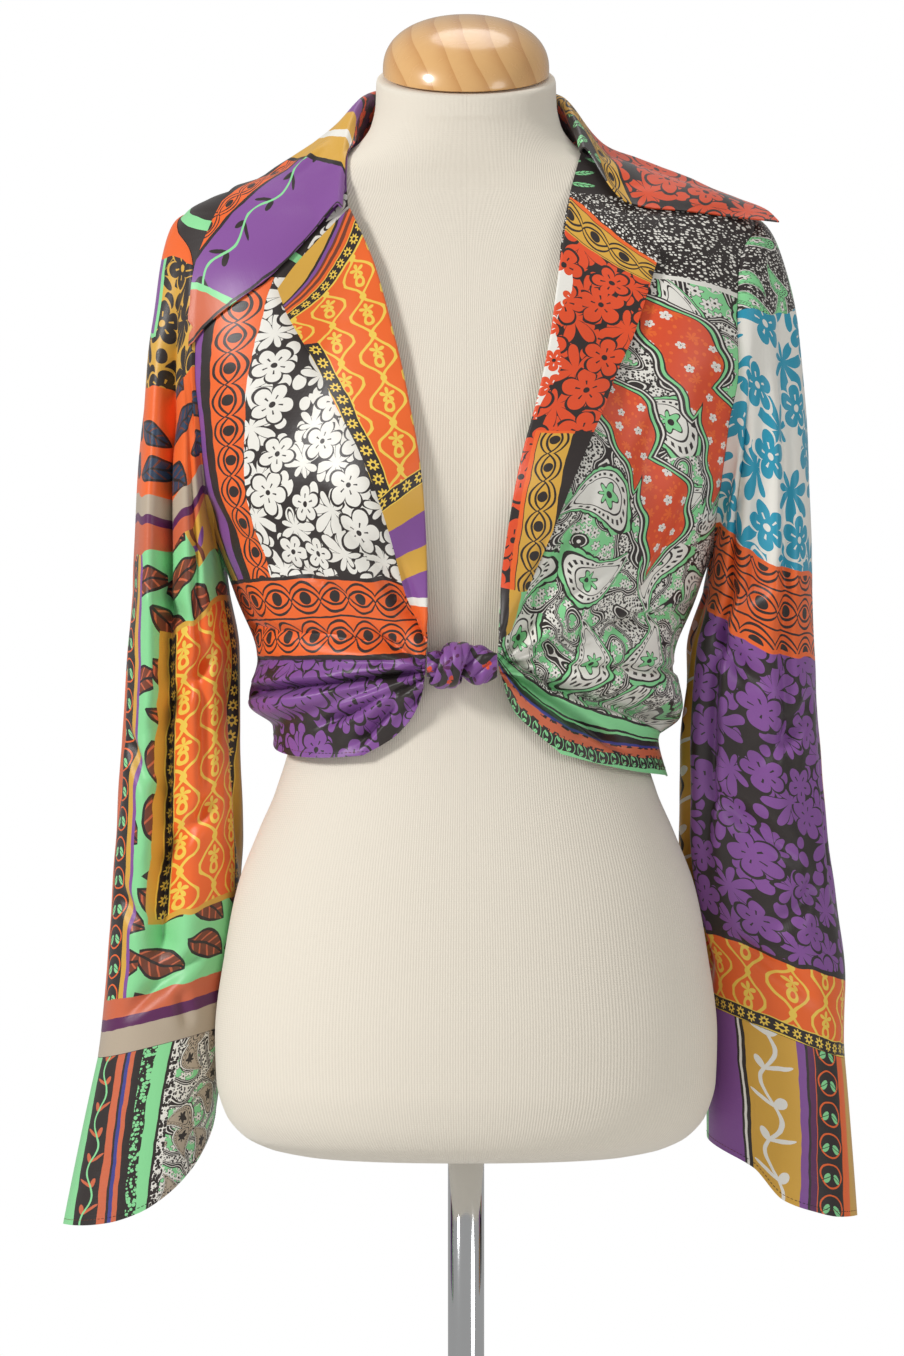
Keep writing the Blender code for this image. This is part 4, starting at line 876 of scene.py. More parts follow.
class Net:
    """A material's nodes, built from signals and colours."""

    def __init__(self, name):
        self.material = bpy.data.materials.new(name)
        self.material.use_nodes = True
        self.tree = self.material.node_tree
        self.shader = self.tree.nodes["Principled BSDF"]

    def node(self, kind, **settings):
        node = self.tree.nodes.new(kind)
        for key, value in settings.items():
            setattr(node, key, value)
        return node

    def feed(self, socket, value):
        if isinstance(value, Signal):
            self.tree.links.new(value.socket, socket)
        elif isinstance(value, bpy.types.NodeSocket):
            self.tree.links.new(value, socket)
        else:
            socket.default_value = value

    def fill(self, node, **values):
        """Feeds a node's inputs, named with lines for spaces, and gives the node back."""
        for name, value in values.items():
            self.feed(node.inputs[name.replace("_", " ")], value)
        return node

    def object_place(self):
        return self.node("ShaderNodeTexCoord").outputs["Object"]

    def relief(self, height, strength, distance):
        """The facing of a surface with fine hills in it."""
        bump = self.fill(self.node("ShaderNodeBump"), Strength=strength, Distance=distance)
        self.feed(bump.inputs["Height"], height)
        return bump.outputs[0]

    def math(self, operation, *values):
        node = self.node("ShaderNodeMath", operation=operation)
        for socket, value in zip(node.inputs, values):
            self.feed(socket, value)
        return Signal(self, node.outputs[0])

    def cos(self, value):
        return self.math("COSINE", value)

    def wrap(self, value, period):
        """The value from -half a period to +half, measured from the nearest repeat."""
        return self.math("WRAP", value, period / 2, -period / 2)

    def length(self, x, y):
        return self.math("SQRT", x * x + y * y)

    def vector(self, x, y, z=0.0):
        node = self.node("ShaderNodeCombineXYZ")
        for socket, value in zip(node.inputs, (x, y, z)):
            self.feed(socket, value)
        return node.outputs[0]

    def parts(self, vector):
        node = self.node("ShaderNodeSeparateXYZ")
        self.feed(node.inputs[0], vector)
        return [Signal(self, s) for s in node.outputs]

    def paint(self, mask, under, over):
        """The colour over where the mask is 1, and under elsewhere."""
        node = self.node("ShaderNodeMix", data_type="RGBA")
        self.feed(node.inputs[0], mask)
        self.feed(node.inputs[6], under)
        self.feed(node.inputs[7], over)
        return node.outputs[2]

    def noise(self, vector, scale, detail=2.0, roughness=0.5, dimensions="3D"):
        node = self.node("ShaderNodeTexNoise", noise_dimensions=dimensions)
        self.fill(node, Vector=vector, Scale=scale, Detail=detail, Roughness=roughness)
        return Signal(self, node.outputs[0])

    def cells(self, x, y, cell, loose):
        """The place from a scattered cell's own centre, and the cell's random turn and pick."""
        place = self.vector(x * (1 / cell), y * (1 / cell))
        node = self.node("ShaderNodeTexVoronoi", voronoi_dimensions="2D", feature="F1")
        self.fill(node, Vector=place, Scale=1.0, Randomness=loose)
        away = self.node("ShaderNodeVectorMath", operation="SUBTRACT")
        self.feed(away.inputs[0], place)
        self.feed(away.inputs[1], node.outputs["Position"])
        dx, dy, _ = self.parts(away.outputs[0])
        tint = self.tints(node.outputs["Color"])
        return dx * cell, dy * cell, tint[0], tint[1]

    def tints(self, colour):
        node = self.node("ShaderNodeSeparateColor")
        self.feed(node.inputs[0], colour)
        return [Signal(self, s) for s in node.outputs]


class Print(Net):
    """The satin's print. Places on the cut piece are in millimetres, x across and y along."""

    def __init__(self, name):
        super().__init__(name)
        self.shade = {
            key: tuple(getattr(bpy.context.scene.blouse_colours, key))
            for key in BlouseColours.__annotations__
        }
        self.cloth = self.node("ShaderNodeUVMap", uv_map="cloth").outputs[0]
        x, y, _ = self.parts(self.cloth)
        self.true_x, self.true_y = x * 1000.0, y * 1000.0
        sway = self.node("ShaderNodeTexNoise", noise_dimensions="2D")
        self.fill(sway, Vector=self.cloth, Scale=45, Detail=2.5)
        sway_x, sway_y, _ = self.tints(sway.outputs["Color"])
        self.x = self.true_x + (sway_x - 0.5) * 3.2
        self.y = self.true_y + (sway_y - 0.5) * 3.2

    def colour(self, choice):
        """A colour by its name, or a colour that is worked out already."""
        return self.shade[choice] if isinstance(choice, str) else choice

    def layer(self, under, *coats):
        """Coats of (mask, colour) laid over a colour in turn."""
        result = self.colour(under)
        for mask, over in coats:
            result = self.paint(mask, result, self.colour(over))
        return result

    def band(self, value, low, high):
        """1 where the value is between two limits."""
        return abs(value - (low + high) / 2) < (high - low) / 2

    def blooms(self, ground, petal, leaf, cell, size, heart, shift=0.0, buds=1.0):
        """Bold flat flowers of five petals, among buds and sprays of long leaves."""
        x, y, turn, pick = self.cells(self.x + shift, self.y + shift * 0.7, cell, 0.5)
        away = self.length(x, y)
        around = self.math("ARCTAN2", y, x) + turn * ROUND
        lobe = self.math("POWER", abs(self.cos(around * 2.5)), 0.62)
        rim = (lobe * 0.5 + 0.46) * (pick * (0.3 * size) + size * 0.82)
        bud_x, bud_y = self.x + shift + cell * 0.5, self.y + cell * 0.4
        bx, by, bud_turn, _ = self.cells(bud_x, bud_y, cell * 0.98, 0.5)
        far = self.length(bx, by)
        way = self.math("ARCTAN2", by, bx) + bud_turn * ROUND
        frond = self.math("POWER", abs(self.cos(way * 3.5)), 0.9)
        spray = (frond * 0.86 + 0.16) * size * (self.cos(way) * 0.34 + 1.02)
        cx, cy, _, size_pick = self.cells(self.x + shift * 1.7, self.y + 5, cell * 0.4, 0.8)
        bud = (size_pick * (size * 0.16) + size * 0.2) * buds
        return self.layer(
            ground,
            (self.length(cx, cy * 0.8) < bud, leaf),
            (far < spray + size * 0.13, ground),
            (far < spray, leaf),
            (away < rim + size * 0.13, ground),
            (away < rim, petal),
            (away < size * 0.13, heart),
            (self.band(away, size * 0.26, size * 0.46) & (lobe > 0.985), ground),
        )

    def chain(self, across, along, half, ground="orange", ink="black"):
        """Two ropes that part and meet, with a disc in each eye, between two lines."""
        step = half * 1.75
        sweep = self.math("POWER", abs(self.cos(along * (3.1416 / step))), 0.7) * (half * 0.6)
        first, second = abs(across - sweep), abs(across + sweep)
        eye = self.length(across, self.wrap(along, step))
        return self.layer(
            ground,
            (self.band(second, half * 0.11, half * 0.25), ink),
            (first < half * 0.25, ink),
            (first < half * 0.11, ground),
            (eye < half * 0.31, ink),
            (abs(across) > half * 0.95, ink),
        )

    def stars(self, across, along, half, ground="black", star="yellow"):
        """A row of eight-pointed stars."""
        step = self.wrap(along, half * 1.8)
        away = self.length(across, step)
        points = self.cos(self.math("ARCTAN2", across, step) * 8) * (half * 0.16) + half * 0.56
        return self.layer(
            ground, (away < points, star), (away < half * 0.24, ground),
            (abs(across) > half * 0.86, star),
        )

    def curls(self, x, y, size, ground="orange", ink="yellow"):
        """A trellis of curved lozenges, each with a drop under a spray."""
        tall = size * 1.3
        column = self.math("FLOOR", x / size + 0.5)
        px = self.wrap(x, size)
        py = self.wrap(y + column * (tall * 0.5), tall)
        arch = abs(abs(px) - (self.cos(py * (ROUND / tall)) * 0.25 + 0.25) * size * 0.96)
        drop = self.length(px * (py * (1.6 / tall) + 1.5), py + tall * 0.12)
        spray_y = py - tall * 0.13
        frond = abs(self.cos(self.math("ARCTAN2", px, spray_y) * 2.5))
        return self.layer(
            ground,
            (arch < size * 0.05, ink),
            (self.length(px, spray_y) < frond * (size * 0.2) + size * 0.02, ink),
            (drop < size * 0.19, ink),
            (drop < size * 0.09, ground),
            (self.length(px, self.wrap(py - tall * 0.5, tall)) < size * 0.1, ink),
        )

    def filigree(self, light="white", tint="mint", ink="black", shift=0.0):
        """Flowing patches of small florets and of fine speckle, with echoing outlines."""
        place = self.vector((self.x + shift) * 0.001, self.y * 0.001)
        flow = self.noise(place, 24, 1.0, 0.4, "2D")
        fx, fy, _, pick = self.cells(self.x, self.y + shift, 8.2, 0.6)
        away = self.length(fx, fy)
        floret = self.cos(self.math("ARCTAN2", fy, fx) * 6) * 0.8 + 2.7
        dx, dy, _, dot_size = self.cells(self.x + shift, self.y, 1.9, 1.0)
        dots = self.length(dx, dy) < dot_size * 0.5 + 0.42
        echo = abs(self.wrap(flow - 0.455, 0.135))
        speckled = (flow > 0.42) & (flow < 0.6)
        patch = self.layer(
            tint, (away < floret + 0.45, ink), (away < floret, light), (away < 0.75, ink),
            (self.band(away, 3.5, 3.9) & (pick > 0.5), light),
        )
        return self.layer(
            patch, (speckled, light), (speckled & dots, ink),
            (echo < 0.024, ink), (echo < 0.014, light), (echo < 0.008, ink),
        )

    def leaf_shape(self, x, y, half_wide, half_long, lean):
        """1 at the outline of one curved, pointed leaf round the place 0, 0, less inside it."""
        c, s = math.cos(lean), math.sin(lean)
        px, py = x * c + y * s, y * c - x * s
        px = px + py * py * (0.3 / half_long)
        lobes = self.cos(py * (ROUND / half_long * 1.5)) * (half_wide * 0.09)
        return (abs(px) + lobes) * (1 / half_wide) + py * py * (1 / half_long**2)

    def paisleys(self, ground, outline, body, inner, cell, size, shift, rim="white"):
        """Curved drops with a scalloped edge, a row of dots and a bloom inside."""
        x, y, turn, _ = self.cells(self.x + shift, self.y + shift * 0.6, cell, 0.45)
        angle = turn * ROUND
        c, s = self.cos(angle), self.math("SINE", angle)
        px, py = x * c + y * s, y * c - x * s
        bend = px + py * py * (0.42 / size)
        taper = py * (-0.42 / size) + 0.66
        drop = self.length(bend / taper, py * 0.72)
        way = self.math("ARCTAN2", bend, py + size * 0.2)
        scallop = abs(self.cos(way * 9)) * (size * 0.06)
        flower = self.length(bend, py + size * 0.32)
        petals = self.cos(way * 6) * (size * 0.09) + size * 0.27
        return self.layer(
            ground,
            (drop - scallop < size * 1.16, outline),
            (drop - scallop < size * 1.07, rim),
            (drop < size * 0.99, outline),
            (drop < size * 0.93, body),
            (self.band(drop, size * 0.74, size * 0.84) & (self.cos(way * 20) > 0.1), outline),
            (self.band(drop, size * 0.62, size * 0.66), outline),
            (flower < petals + size * 0.05, outline),
            (flower < petals, inner),
            (flower < size * 0.1, outline),
        )

    def speckle(self, ground, dots, share, cell):
        """Fine uneven dots."""
        x, y, _, pick = self.cells(self.x, self.y, cell, 1.0)
        return self.layer(ground, (self.length(x, y) < pick * (cell * share * 1.6), dots))

    def framed_leaves(self, across, along, half, ground="black", leaf="mint", frame="orange"):
        """Pairs of leaves in arched frames, along a band."""
        step = self.wrap(along, half * 1.5)
        lean = abs(across) - half * 0.06
        blade = self.length((lean - half * 0.27) / 0.62, (step + lean * 0.5) * 1.7)
        arch = abs(self.length(across, step * 1.25) - half * 0.72)
        return self.layer(
            ground, (arch < half * 0.05, frame), (blade < half * 0.36, leaf),
            (abs(step + lean * 0.5) < half * 0.02, ground), (abs(across) > half * 0.88, frame),
        )

    def vine(self, across, along, half, ground, stem, leaf):
        """A waving stem with leaves on both sides."""
        period = half * 3.2
        wave = self.math("SINE", along * (ROUND / period)) * (half * 0.4)
        off = across - wave
        side = self.wrap(along, period / 2)
        leaf_x = abs(off) - half * 0.38
        blade = self.length(leaf_x / 1.1, (side - leaf_x * 0.6) * 2.2)
        return self.layer(ground, (blade < half * 0.36, leaf), (abs(off) < half * 0.09, stem))

    def big_leaves(self, ground, first, second, vein, cell, size, shift=0.0, lean=0.5):
        """Large pointed leaves with a dark outline and side veins."""
        x, y, turn, pick = self.cells(self.x + shift, self.y + shift, cell, 0.45)
        angle = turn * 1.6 + lean
        c, s = self.cos(angle), self.math("SINE", angle)
        px, py = x * c + y * s, y * c - x * s
        blade = abs(px) + py * py * (0.42 / size)
        side_vein = abs(self.wrap(py + abs(px) * 0.9, size * 0.42))
        inside = blade < size * 0.42
        return self.layer(
            ground,
            (blade < size * 0.52, "black"),
            (inside, first),
            (inside & (pick > 0.52), second),
            (inside & (side_vein < size * 0.045), vein),
            (inside & (abs(px) < size * 0.045), "black"),
        )

    def lines(self, value, first, *stops):
        """Stripes: a first colour, then each (from here on, colour)."""
        return self.layer(first, *((value > start, over) for start, over in stops))

    def finish(self, colour):
        """Satin: a soft sheen, faint colour unevenness and a fine slanting weave."""
        x, y = self.true_x, self.true_y
        drift = self.noise(self.cloth, 9, 3)
        faded = self.node("ShaderNodeHueSaturation")
        self.fill(faded, Saturation=1.0, Value=drift * 0.16 + 0.93, Color=colour)
        warp = self.math("SINE", (x + y * 0.36) * 7.4)
        weft = self.math("SINE", (y - x * 0.3) * 9.8)
        weave = warp * 0.6 + weft * 0.4
        slub = self.noise(self.vector(x * 0.02, y * 0.9), 1.0, 2, dimensions="2D")
        crumple = self.noise(self.cloth, 70, 3)
        self.fill(
            self.shader, Base_Color=faded.outputs[0], Roughness=slub * 0.1 + 0.34,
            Normal=self.relief(weave * 0.05 + slub * 0.12 + crumple * 0.5, 0.42, 0.0011),
            Specular_IOR_Level=0.5, Sheen_Weight=0.12, Sheen_Roughness=0.4, Anisotropic=0.35,
        )
        return self.material


def printed(name):
    """Turns a piece's colouring, over its cut, into a maker of its printed satin."""

    def with_colouring(colouring):
        def satin_print():
            p = Print(name)
            return p.finish(colouring(p, p.x, p.y))

        return satin_print

    return with_colouring


@printed("right front print")
def right_front_print(p, x, y):
    """White flowers on black in a chain border, strips outside it, and a purple-flowered hem."""
    flowers = p.blooms("black", "white", "white", 30, 13.5, "black", shift=4)
    violets = p.blooms("black", "purple", "purple", 37, 17, "black", shift=13)
    near_knot = p.math("EXPONENT", (x + 34) * 0.045)
    row = (y - 107) * (near_knot * 0.5 + 1.0) + 107
    chain_up = p.chain(x + y * 0.02 + 170, y, 11.5)
    chain_two = p.chain(p.wrap(row - 120.5, 27), x, 13.5)
    outside = p.lines(
        -x, "black", (193, "purple"), (205, "black"), (208, "mustard"), (220, "black"),
        (223, "mint"),
    )
    shoulder = p.lines(
        y + x * 0.55, "black", (282, "mint"), (288, "black"), (293, chain_up), (312, "black"),
        (316, "purple"),
    )
    return p.layer(
        flowers,
        (x < -166, chain_up),
        (x < -190, outside),
        ((y > 360) & (x < -158), shoulder),
        (row < 163, "black"),
        (row < 161, chain_two),
        (row < 107, "black"),
        (row < 104, violets),
    )


def hem_share(p, x, y):
    """0 at the left front's curved hem, 1 at the top of its bands, which fan from the knot."""
    low = p.math("EXPONENT", (x - 33) * (-1 / 48)) * 72 + 18
    high = p.math("EXPONENT", (x - 33) * (-1 / 95)) * 63 + 45
    return (y - low) / (high - low)


@printed("left front print")
def left_front_print(p, x, y):
    """Mint and white paisleys on fine filigree, orange leaves, and a banded hem."""
    paisley = p.paisleys(p.filigree(), "black", "white", "mint", 54, 20, 15, "mint")
    seeds = p.blooms("orange_red", "white", "orange", 15, 3.2, "black", shift=2)
    leaves = p.leaf_shape(x - 130, y - 262, 16, 40, 0.3)
    for middle_x, middle_y in ((170, 314), (156, 206), (196, 258)):
        leaf = p.leaf_shape(x - middle_x, y - middle_y, 16, 40, 0.3)
        leaves = p.math("MINIMUM", leaves, leaf)
    share = hem_share(p, x, y)
    twigs = p.framed_leaves((share - 0.18) * 40, x, 7, "black", "mint", "mint")
    marks = p.speckle("black", "terracotta", 0.6, 5)
    shoulder = y + x * 0.2
    return p.layer(
        paisley,
        (leaves < 1.42, "black"), (leaves < 1.34, "white"), (leaves < 1.27, "black"),
        (leaves < 1.16, "mint"), (leaves < 1.05, "black"), (leaves < 0.99, seeds),
        (p.band(shoulder, 396, 460), p.speckle("black", "white", 0.28, 1.9)),
        (p.band(shoulder, 393, 396), "white"),
        (shoulder > 460, p.big_leaves("black", "mint", "mint", "black", 26, 10, 3)),
        (share < 1.0, "black"), (share < 0.96, "mint"), (share < 0.76, "black"),
        (share < 0.72, "mint"), (share < 0.68, "black"), (share < 0.56, "blue"),
        (share < 0.51, marks), (share < 0.47, "terracotta"), (share < 0.34, marks),
        (share < 0.29, twigs), (share < 0.07, "mint"),
    )


@printed("back print")
def back_print(p, x, y):
    """White flowers in a chain border between dark paisleys, over a banded hem."""
    paisley = p.paisleys(p.speckle("black", "mint", 0.3, 2.6), "mint", "black", "orange", 44, 17, 9)
    flowers = p.blooms("black", "white", "white", 31, 13.5, "black", shift=17)
    return p.layer(
        paisley,
        (abs(x) < 92, "purple"), (abs(x) < 86, p.chain(abs(x) - 73, y, 13.0)),
        (abs(x) < 60, flowers),
        (y > 420, p.big_leaves("purple", "mint", "mustard", "black", 34, 15)),
        (p.band(y, 412, 422), "yellow"),
        (y < 157, "black"), (y < 155, p.chain(p.wrap(y - 114.5, 27), x, 13.5)), (y < 101, "black"),
        (y < 98, "mint"), (y < 86, "black"), (y < 82, "blue"),
        (y < 78, p.speckle("black", "terracotta", 0.6, 5)), (y < 70, "terracotta"),
        (y < 62, p.framed_leaves(y - 50, x, 12, "black", "mint", "orange")), (y < 38, "mint"),
    )


@printed("right lapel print")
def right_lapel_print(p, x, y):
    """A yellow trellis on orange, edged with stars, over purple and mustard."""
    gorge = y + x * 0.62
    from_edge = x - y * 0.245
    return p.layer(
        p.curls(x - 12, y, 25.0),
        ((from_edge > -4.5) & (y < 214), p.stars(from_edge - 1, y, 5.5)),
        ((from_edge > 6.5) & (y < 214), "orange"),
        (gorge > 284, "yellow"), (gorge > 285, p.stars(gorge - 291, x - y * 0.62, 6)),
        (gorge > 297, "orange"), (gorge > 301, "brown"), (gorge > 305, "orange"),
        (gorge > 308, "brown"), (gorge > 311, "purple"), (gorge > 315, "black"),
        (gorge > 318, "mustard"),
        (y + x * 0.5 < 112, p.stars(y + x * 0.5 - 107, x, 5)), (y + x * 0.5 < 102, "mustard"),
        (y + x * 0.4 < 84, "purple"), (y + x * 0.4 < 62, "mustard"),
        (y + x * 0.3 < 44, "purple"), (y < 26, "white"), (y < 20, "orange"),
    )


@printed("left lapel print")
def left_lapel_print(p, x, y):
    """Orange-red flowers on black between mustard chain bands."""
    gorge = y + x * 0.3
    fold = x - p.cos(y * 0.1) * 4
    pale = p.blooms("white", "orange_red", "orange_red", 24, 10, "black", 2, 0)
    return p.layer(
        p.blooms("black", "orange_red", "orange_red", 33, 16, "black", shift=6),
        ((fold < 5) & (gorge < 262) & (y > 150), pale),
        (gorge > 290, "mustard"), (gorge > 291, p.chain(gorge - 303.5, x, 12.5, "mustard")),
        (gorge > 316, "orange"), (gorge > 320, p.speckle("black", "white", 0.3, 2.4)),
        ((y < 142) & (x > 4), "orange"),
        ((y < 140) & (x > 7), p.chain(x - 18, y, 11.0, "mustard")),
        ((y < 142) & (x > 29), "black"),
        (y < 34, "black"), ((y < 34) & (x > 4), "mustard"), ((y < 34) & (x > 12), "mint"),
    )


def right_collar_colours(p, x, y):
    """A purple half with a waving mint vine and a terracotta tip."""
    out, down = x + 175, y - 60
    side = out * 0.86 + down * 0.5
    along = out * -0.5 + down * 0.86
    side = side - along * along * 0.0016
    tip = along - side * 0.3
    neck = x * 0.68 - y * 0.73
    return p.layer(
        "purple",
        (abs(side) < 15, p.vine(side, along, 13, "purple", "mint", "black")),
        (side > 19, "black"), (side > 22, p.chain(side - 32, along, 10.0)), (side > 42, "black"),
        (neck > -125, "black"), (neck > -122, "mustard"), (neck > -104, "white"),
        (neck > -98, "mustard"), (neck > -84, "purple"), (neck > -72, "black"),
        (neck > -69, p.blooms("black", "orange_red", "plum", 22, 9, "mustard", 3)),
        (tip > 62, "mint"), (tip > 66, "terracotta"),
        (abs(x + 219.5) < 0.8, "black"),
    )


@printed("collar print")
def collar_print(p, x, y):
    """Purple with a mint vine on one half, orange flowers and a mustard chain on the other."""
    band = (x - 110) * 0.543 - y * 0.84
    left_half = p.layer(
        p.blooms("black", "orange_red", "orange_red", 36, 17, "black", shift=8),
        (band > -13, "black"), (band > -11, p.chain(band, x * 0.84 + y * 0.543, 11.0, "mustard")),
        (band > 11, p.big_leaves("black", "mint", "mint", "black", 20, 9, 3)),
    )
    stand = p.blooms("black", "orange_red", "plum", 22, 8, "mustard", shift=3)
    return p.layer(right_collar_colours(p, x, y), (x > 0, left_half), (y < -9, stand))


@printed("right sleeve print")
def right_sleeve_print(p, x, y):
    """Leaves at the shoulder, an orange trellis between stars, leaves on mint, and strips."""
    lean = x + (y - 250) * 0.03
    trellis = p.curls(x - 4, y, 27.0)
    shoulder = p.big_leaves("orange", "navy", "navy", "brown", 34, 17, 4)
    dots = p.blooms("mustard", "black", "black", 44, 17, "mustard", shift=30)
    leaves = p.big_leaves("mint", "brown", "brown", "terracotta", 35, 20, 14, 0.2)
    outer = p.framed_leaves(lean + 56, y, 14, "black", "mint", "orange")
    return p.layer(
        leaves,
        ((x > -18) & p.band(y, 92, 304), "mustard"),
        ((x > -13) & p.band(y, 96, 300), p.stars(x + 7, y, 6)),
        ((x > -1) & p.band(y, 96, 300), trellis),
        ((x > 62) & p.band(y, 96, 300), p.stars(x - 68, y, 6)),
        ((x > 74) & p.band(y, 92, 304), "mustard"),
        ((x > 84) & p.band(y, 86, 320), p.vine(x - 104, y, 20, "black", "mint", "white")),
        (lean < -34, "purple"), (lean < -38, "mustard"), (lean < -44, outer),
        (lean < -72, "terracotta"), (lean < -80, shoulder),
        ((y > 336) & (x + y * 0.5 > 190), p.vine(x - 20, y, 20, "mustard", "brown", "purple")),
        ((y - x * 0.2 > 364), "terracotta"),
        (y > 376, "plum"), (y > 382, "taupe"), (y > 396, shoulder), (y > 470, dots),
        ((y > 505) & (x < -30), "mint"), ((y > 508) & (x < -34), "purple"), (y > 560, "orange"),
        (y < 40, "terracotta"), (y < 26, "plum"), (y < 18, "taupe"),
    )


@printed("left sleeve print")
def left_sleeve_print(p, x, y):
    """A dark shoulder, turquoise flowers on white, chains, purple flowers and a trellis."""
    sea = p.blooms("white", "turquoise", "turquoise", 46, 19, "white", 12, 0)
    violets = p.blooms("black", "purple", "purple", 38, 15.5, "purple", shift=4)
    dark = p.paisleys(p.speckle("black", "white", 0.28, 1.9), "black", "mint", "white", 27, 9, 7)
    chain = p.chain(p.wrap(y - 312, 27), x, 13.5)
    trellis = p.curls(x + 6, y, 27.0)
    front = p.vine(x - 84, y, 13, "mustard", "black", "white")
    outer = p.framed_leaves(x + 96, y, 14, "black", "mint", "orange")
    return p.layer(
        violets,
        ((x > 62) & (y < 282), "orange"), ((x > 68) & (y < 282), front),
        (x > 98, p.paisleys("white", "black", "mint", "white", 40, 17, 5)),
        (x < -80, outer), (x < -114, "purple"), (x < -122, "mustard"),
        (x < -136, p.vine(x + 152, y, 15, "black", "mint", "orange")),
        (y > 282, "orange"), (p.band(y, 285, 339), chain), (y > 339, "orange"),
        (y > 342, sea),
        ((y - abs(x - 10) * 0.25 > 508), dark), ((y > 430) & (x > 74), dark),
        (p.band(y, 10, 54), trellis), (y < 10, p.stars(y - 5, x, 5)),
        (p.band(y, 54, 57), "black"),
    )


@printed("right cuff print")
def right_cuff_print(p, x, y):
    """Upright stripes of mint, black, terracotta and blue, then grey lace."""
    lean = x - y * 0.06
    vine = p.vine(lean + 41, y, 11, "black", "mint", "terracotta")
    ground = p.filigree("white", "mint", "black", 20)
    lace = p.paisleys(ground, "black", "taupe", "black", 26, 10, 6)
    colour = p.lines(
        lean, "mint", (-54, "black"), (-52, vine), (-30, "terracotta"), (-23, "black"),
        (-21, "blue"), (-18, "terracotta"), (-14, "black"),
        (-8, p.speckle("black", "mint", 0.42, 2.6)), (0, "mint"),
        (8, "black"), (10, p.speckle("white", "black", 0.5, 2.4)), (16, lace), (70, "mint"),
        (80, "black"), (84, vine), (104, "terracotta"), (112, "purple"),
    )
    return p.layer(colour, (lean < -84, "terracotta"), (lean < -96, vine))


@printed("left cuff print")
def left_cuff_print(p, x, y):
    """Purple, a white vine on mustard, a purple strip, and leaves in frames."""
    lean = x - y * 0.08
    vine = p.vine(lean - 10, y, 15, "mustard", "white", "white")
    leaves = p.framed_leaves(lean + 34, y, 14, "black", "mint", "orange")
    colour = p.lines(
        -lean, "purple", (-33, "black"), (-31, "white"), (-29, "black"), (-26, vine), (8, "purple"),
        (14, "black"), (16, "plum"), (21, leaves), (48, "orange"), (56, "mustard"),
        (84, p.vine(lean + 108, y, 22, "black", "mint", "orange")),
    )
    inside = p.chain(lean - 110, y, 14)
    return p.layer(colour, (lean > 78, "mint"), (lean > 90, "black"), (lean > 96, inside))


@printed("knot print")
def knot_print(p, x, y):
    """Purple with small orange flowers and black streaks, gathered into the knot."""
    streak = abs(p.wrap(x + p.cos(y * 0.2) * 6, 19))
    flowers = p.blooms("purple", "orange_red", "plum", 23, 4.2, "black", shift=3)
    return p.layer(flowers, (streak < 2.4, "black"))


def thread_finish():
    """Dull thread that takes the cloth's darker colours."""
    net = Net("sewing thread")
    where = net.object_place()
    twist = net.noise(where, 900, 2)
    patch = net.noise(where, 40, 1)
    colours = bpy.context.scene.blouse_colours
    dark = net.math("GREATER_THAN", patch, 0.52)
    base = net.paint(dark, tuple(colours.black), tuple(colours.brown))
    net.fill(net.shader, Base_Color=base, Roughness=twist * 0.3 + 0.45)
    return net.material


def jersey():
    """Fine ribbed jersey, pulled smooth."""
    net = Net("ribbed jersey")
    colour = tuple(bpy.context.scene.blouse_colours.jersey)
    x, y, _ = net.parts(net.node("ShaderNodeUVMap", uv_map="cloth").outputs[0])
    where = net.object_place()
    rib = net.cos(x * (6283.2 / RIB_WIDE) + net.noise(where, 30, 2) * 1.2)
    stitch = net.cos(y * (6283.2 / KNIT_TALL))
    fuzz = net.noise(where, 700, 3, 0.6)
    cloudy = net.noise(where, 6, 3)
    shade = tuple(c * 0.9 for c in colour[:3]) + (1,)
    base = net.paint(rib * 0.34 + fuzz * 0.22 + cloudy * 0.35 - 0.08, colour, shade)
    net.fill(
        net.shader, Base_Color=base, Roughness=fuzz * 0.1 + 0.84,
        Normal=net.relief(rib * 0.5 + stitch * 0.12 + fuzz * 0.4, 0.35, 0.0006),
        Sheen_Weight=0.25, Sheen_Roughness=0.5,
    )
    return net.material


def pine():
    """Varnished pine, its grain slanting across the cap."""
    net = Net("varnished pine")
    colour = tuple(bpy.context.scene.blouse_colours.wood)
    where = net.object_place()
    x, y, z = net.parts(where)
    warp = net.noise(where, 9, 2) * 0.02
    ring = net.length(x * 0.9 + z * 0.4 - 0.35 + warp, y * 0.35 - 0.05)
    late = net.math("POWER", net.math("FRACT", ring * RINGS_A_METRE), 2.6)
    pores = net.noise(net.vector(x * 60 + z * 40, y * 240, z * 60 - x * 40), 1.0, 4, 0.6)
    cloudy = net.noise(where, 18, 3)
    dark = tuple(c * k for c, k in zip(colour[:3], (0.70, 0.52, 0.36))) + (1,)
    pale = tuple(min(c * 1.08, 1) for c in colour[:3]) + (1,)
    base = net.paint(cloudy * 0.6, colour, pale)
    base = net.paint(late * 0.62 + pores * 0.26 - 0.06, base, dark)
    net.fill(
        net.shader, Base_Color=base, Roughness=pores * 0.12 + 0.2, Coat_Weight=0.6,
        Normal=net.relief(late * 0.5 + pores * 0.3, 0.12, 0.0005), Coat_Roughness=0.12,
    )
    return net.material


def metal(name, colour, rough, streak, relief):
    """Metal with fine streaks round the upright axis and faint marks of handling."""
    net = Net(name)
    where = net.object_place()
    x, y, z = net.parts(where)
    lines = net.noise(net.vector(net.length(x, y) * 900, z * 900, 0.0), 1.0, 3)
    marks = net.noise(where, 26, 4, 0.65)
    deep = tuple(c * 0.9 for c in colour) + (1,)
    net.fill(
        net.shader, Base_Color=net.paint(marks * 0.5, (*colour, 1), deep), Metallic=1.0,
        Roughness=lines * streak + marks * 0.05 + rough, Normal=net.relief(lines, relief, 0.0002),
    )
    return net.material


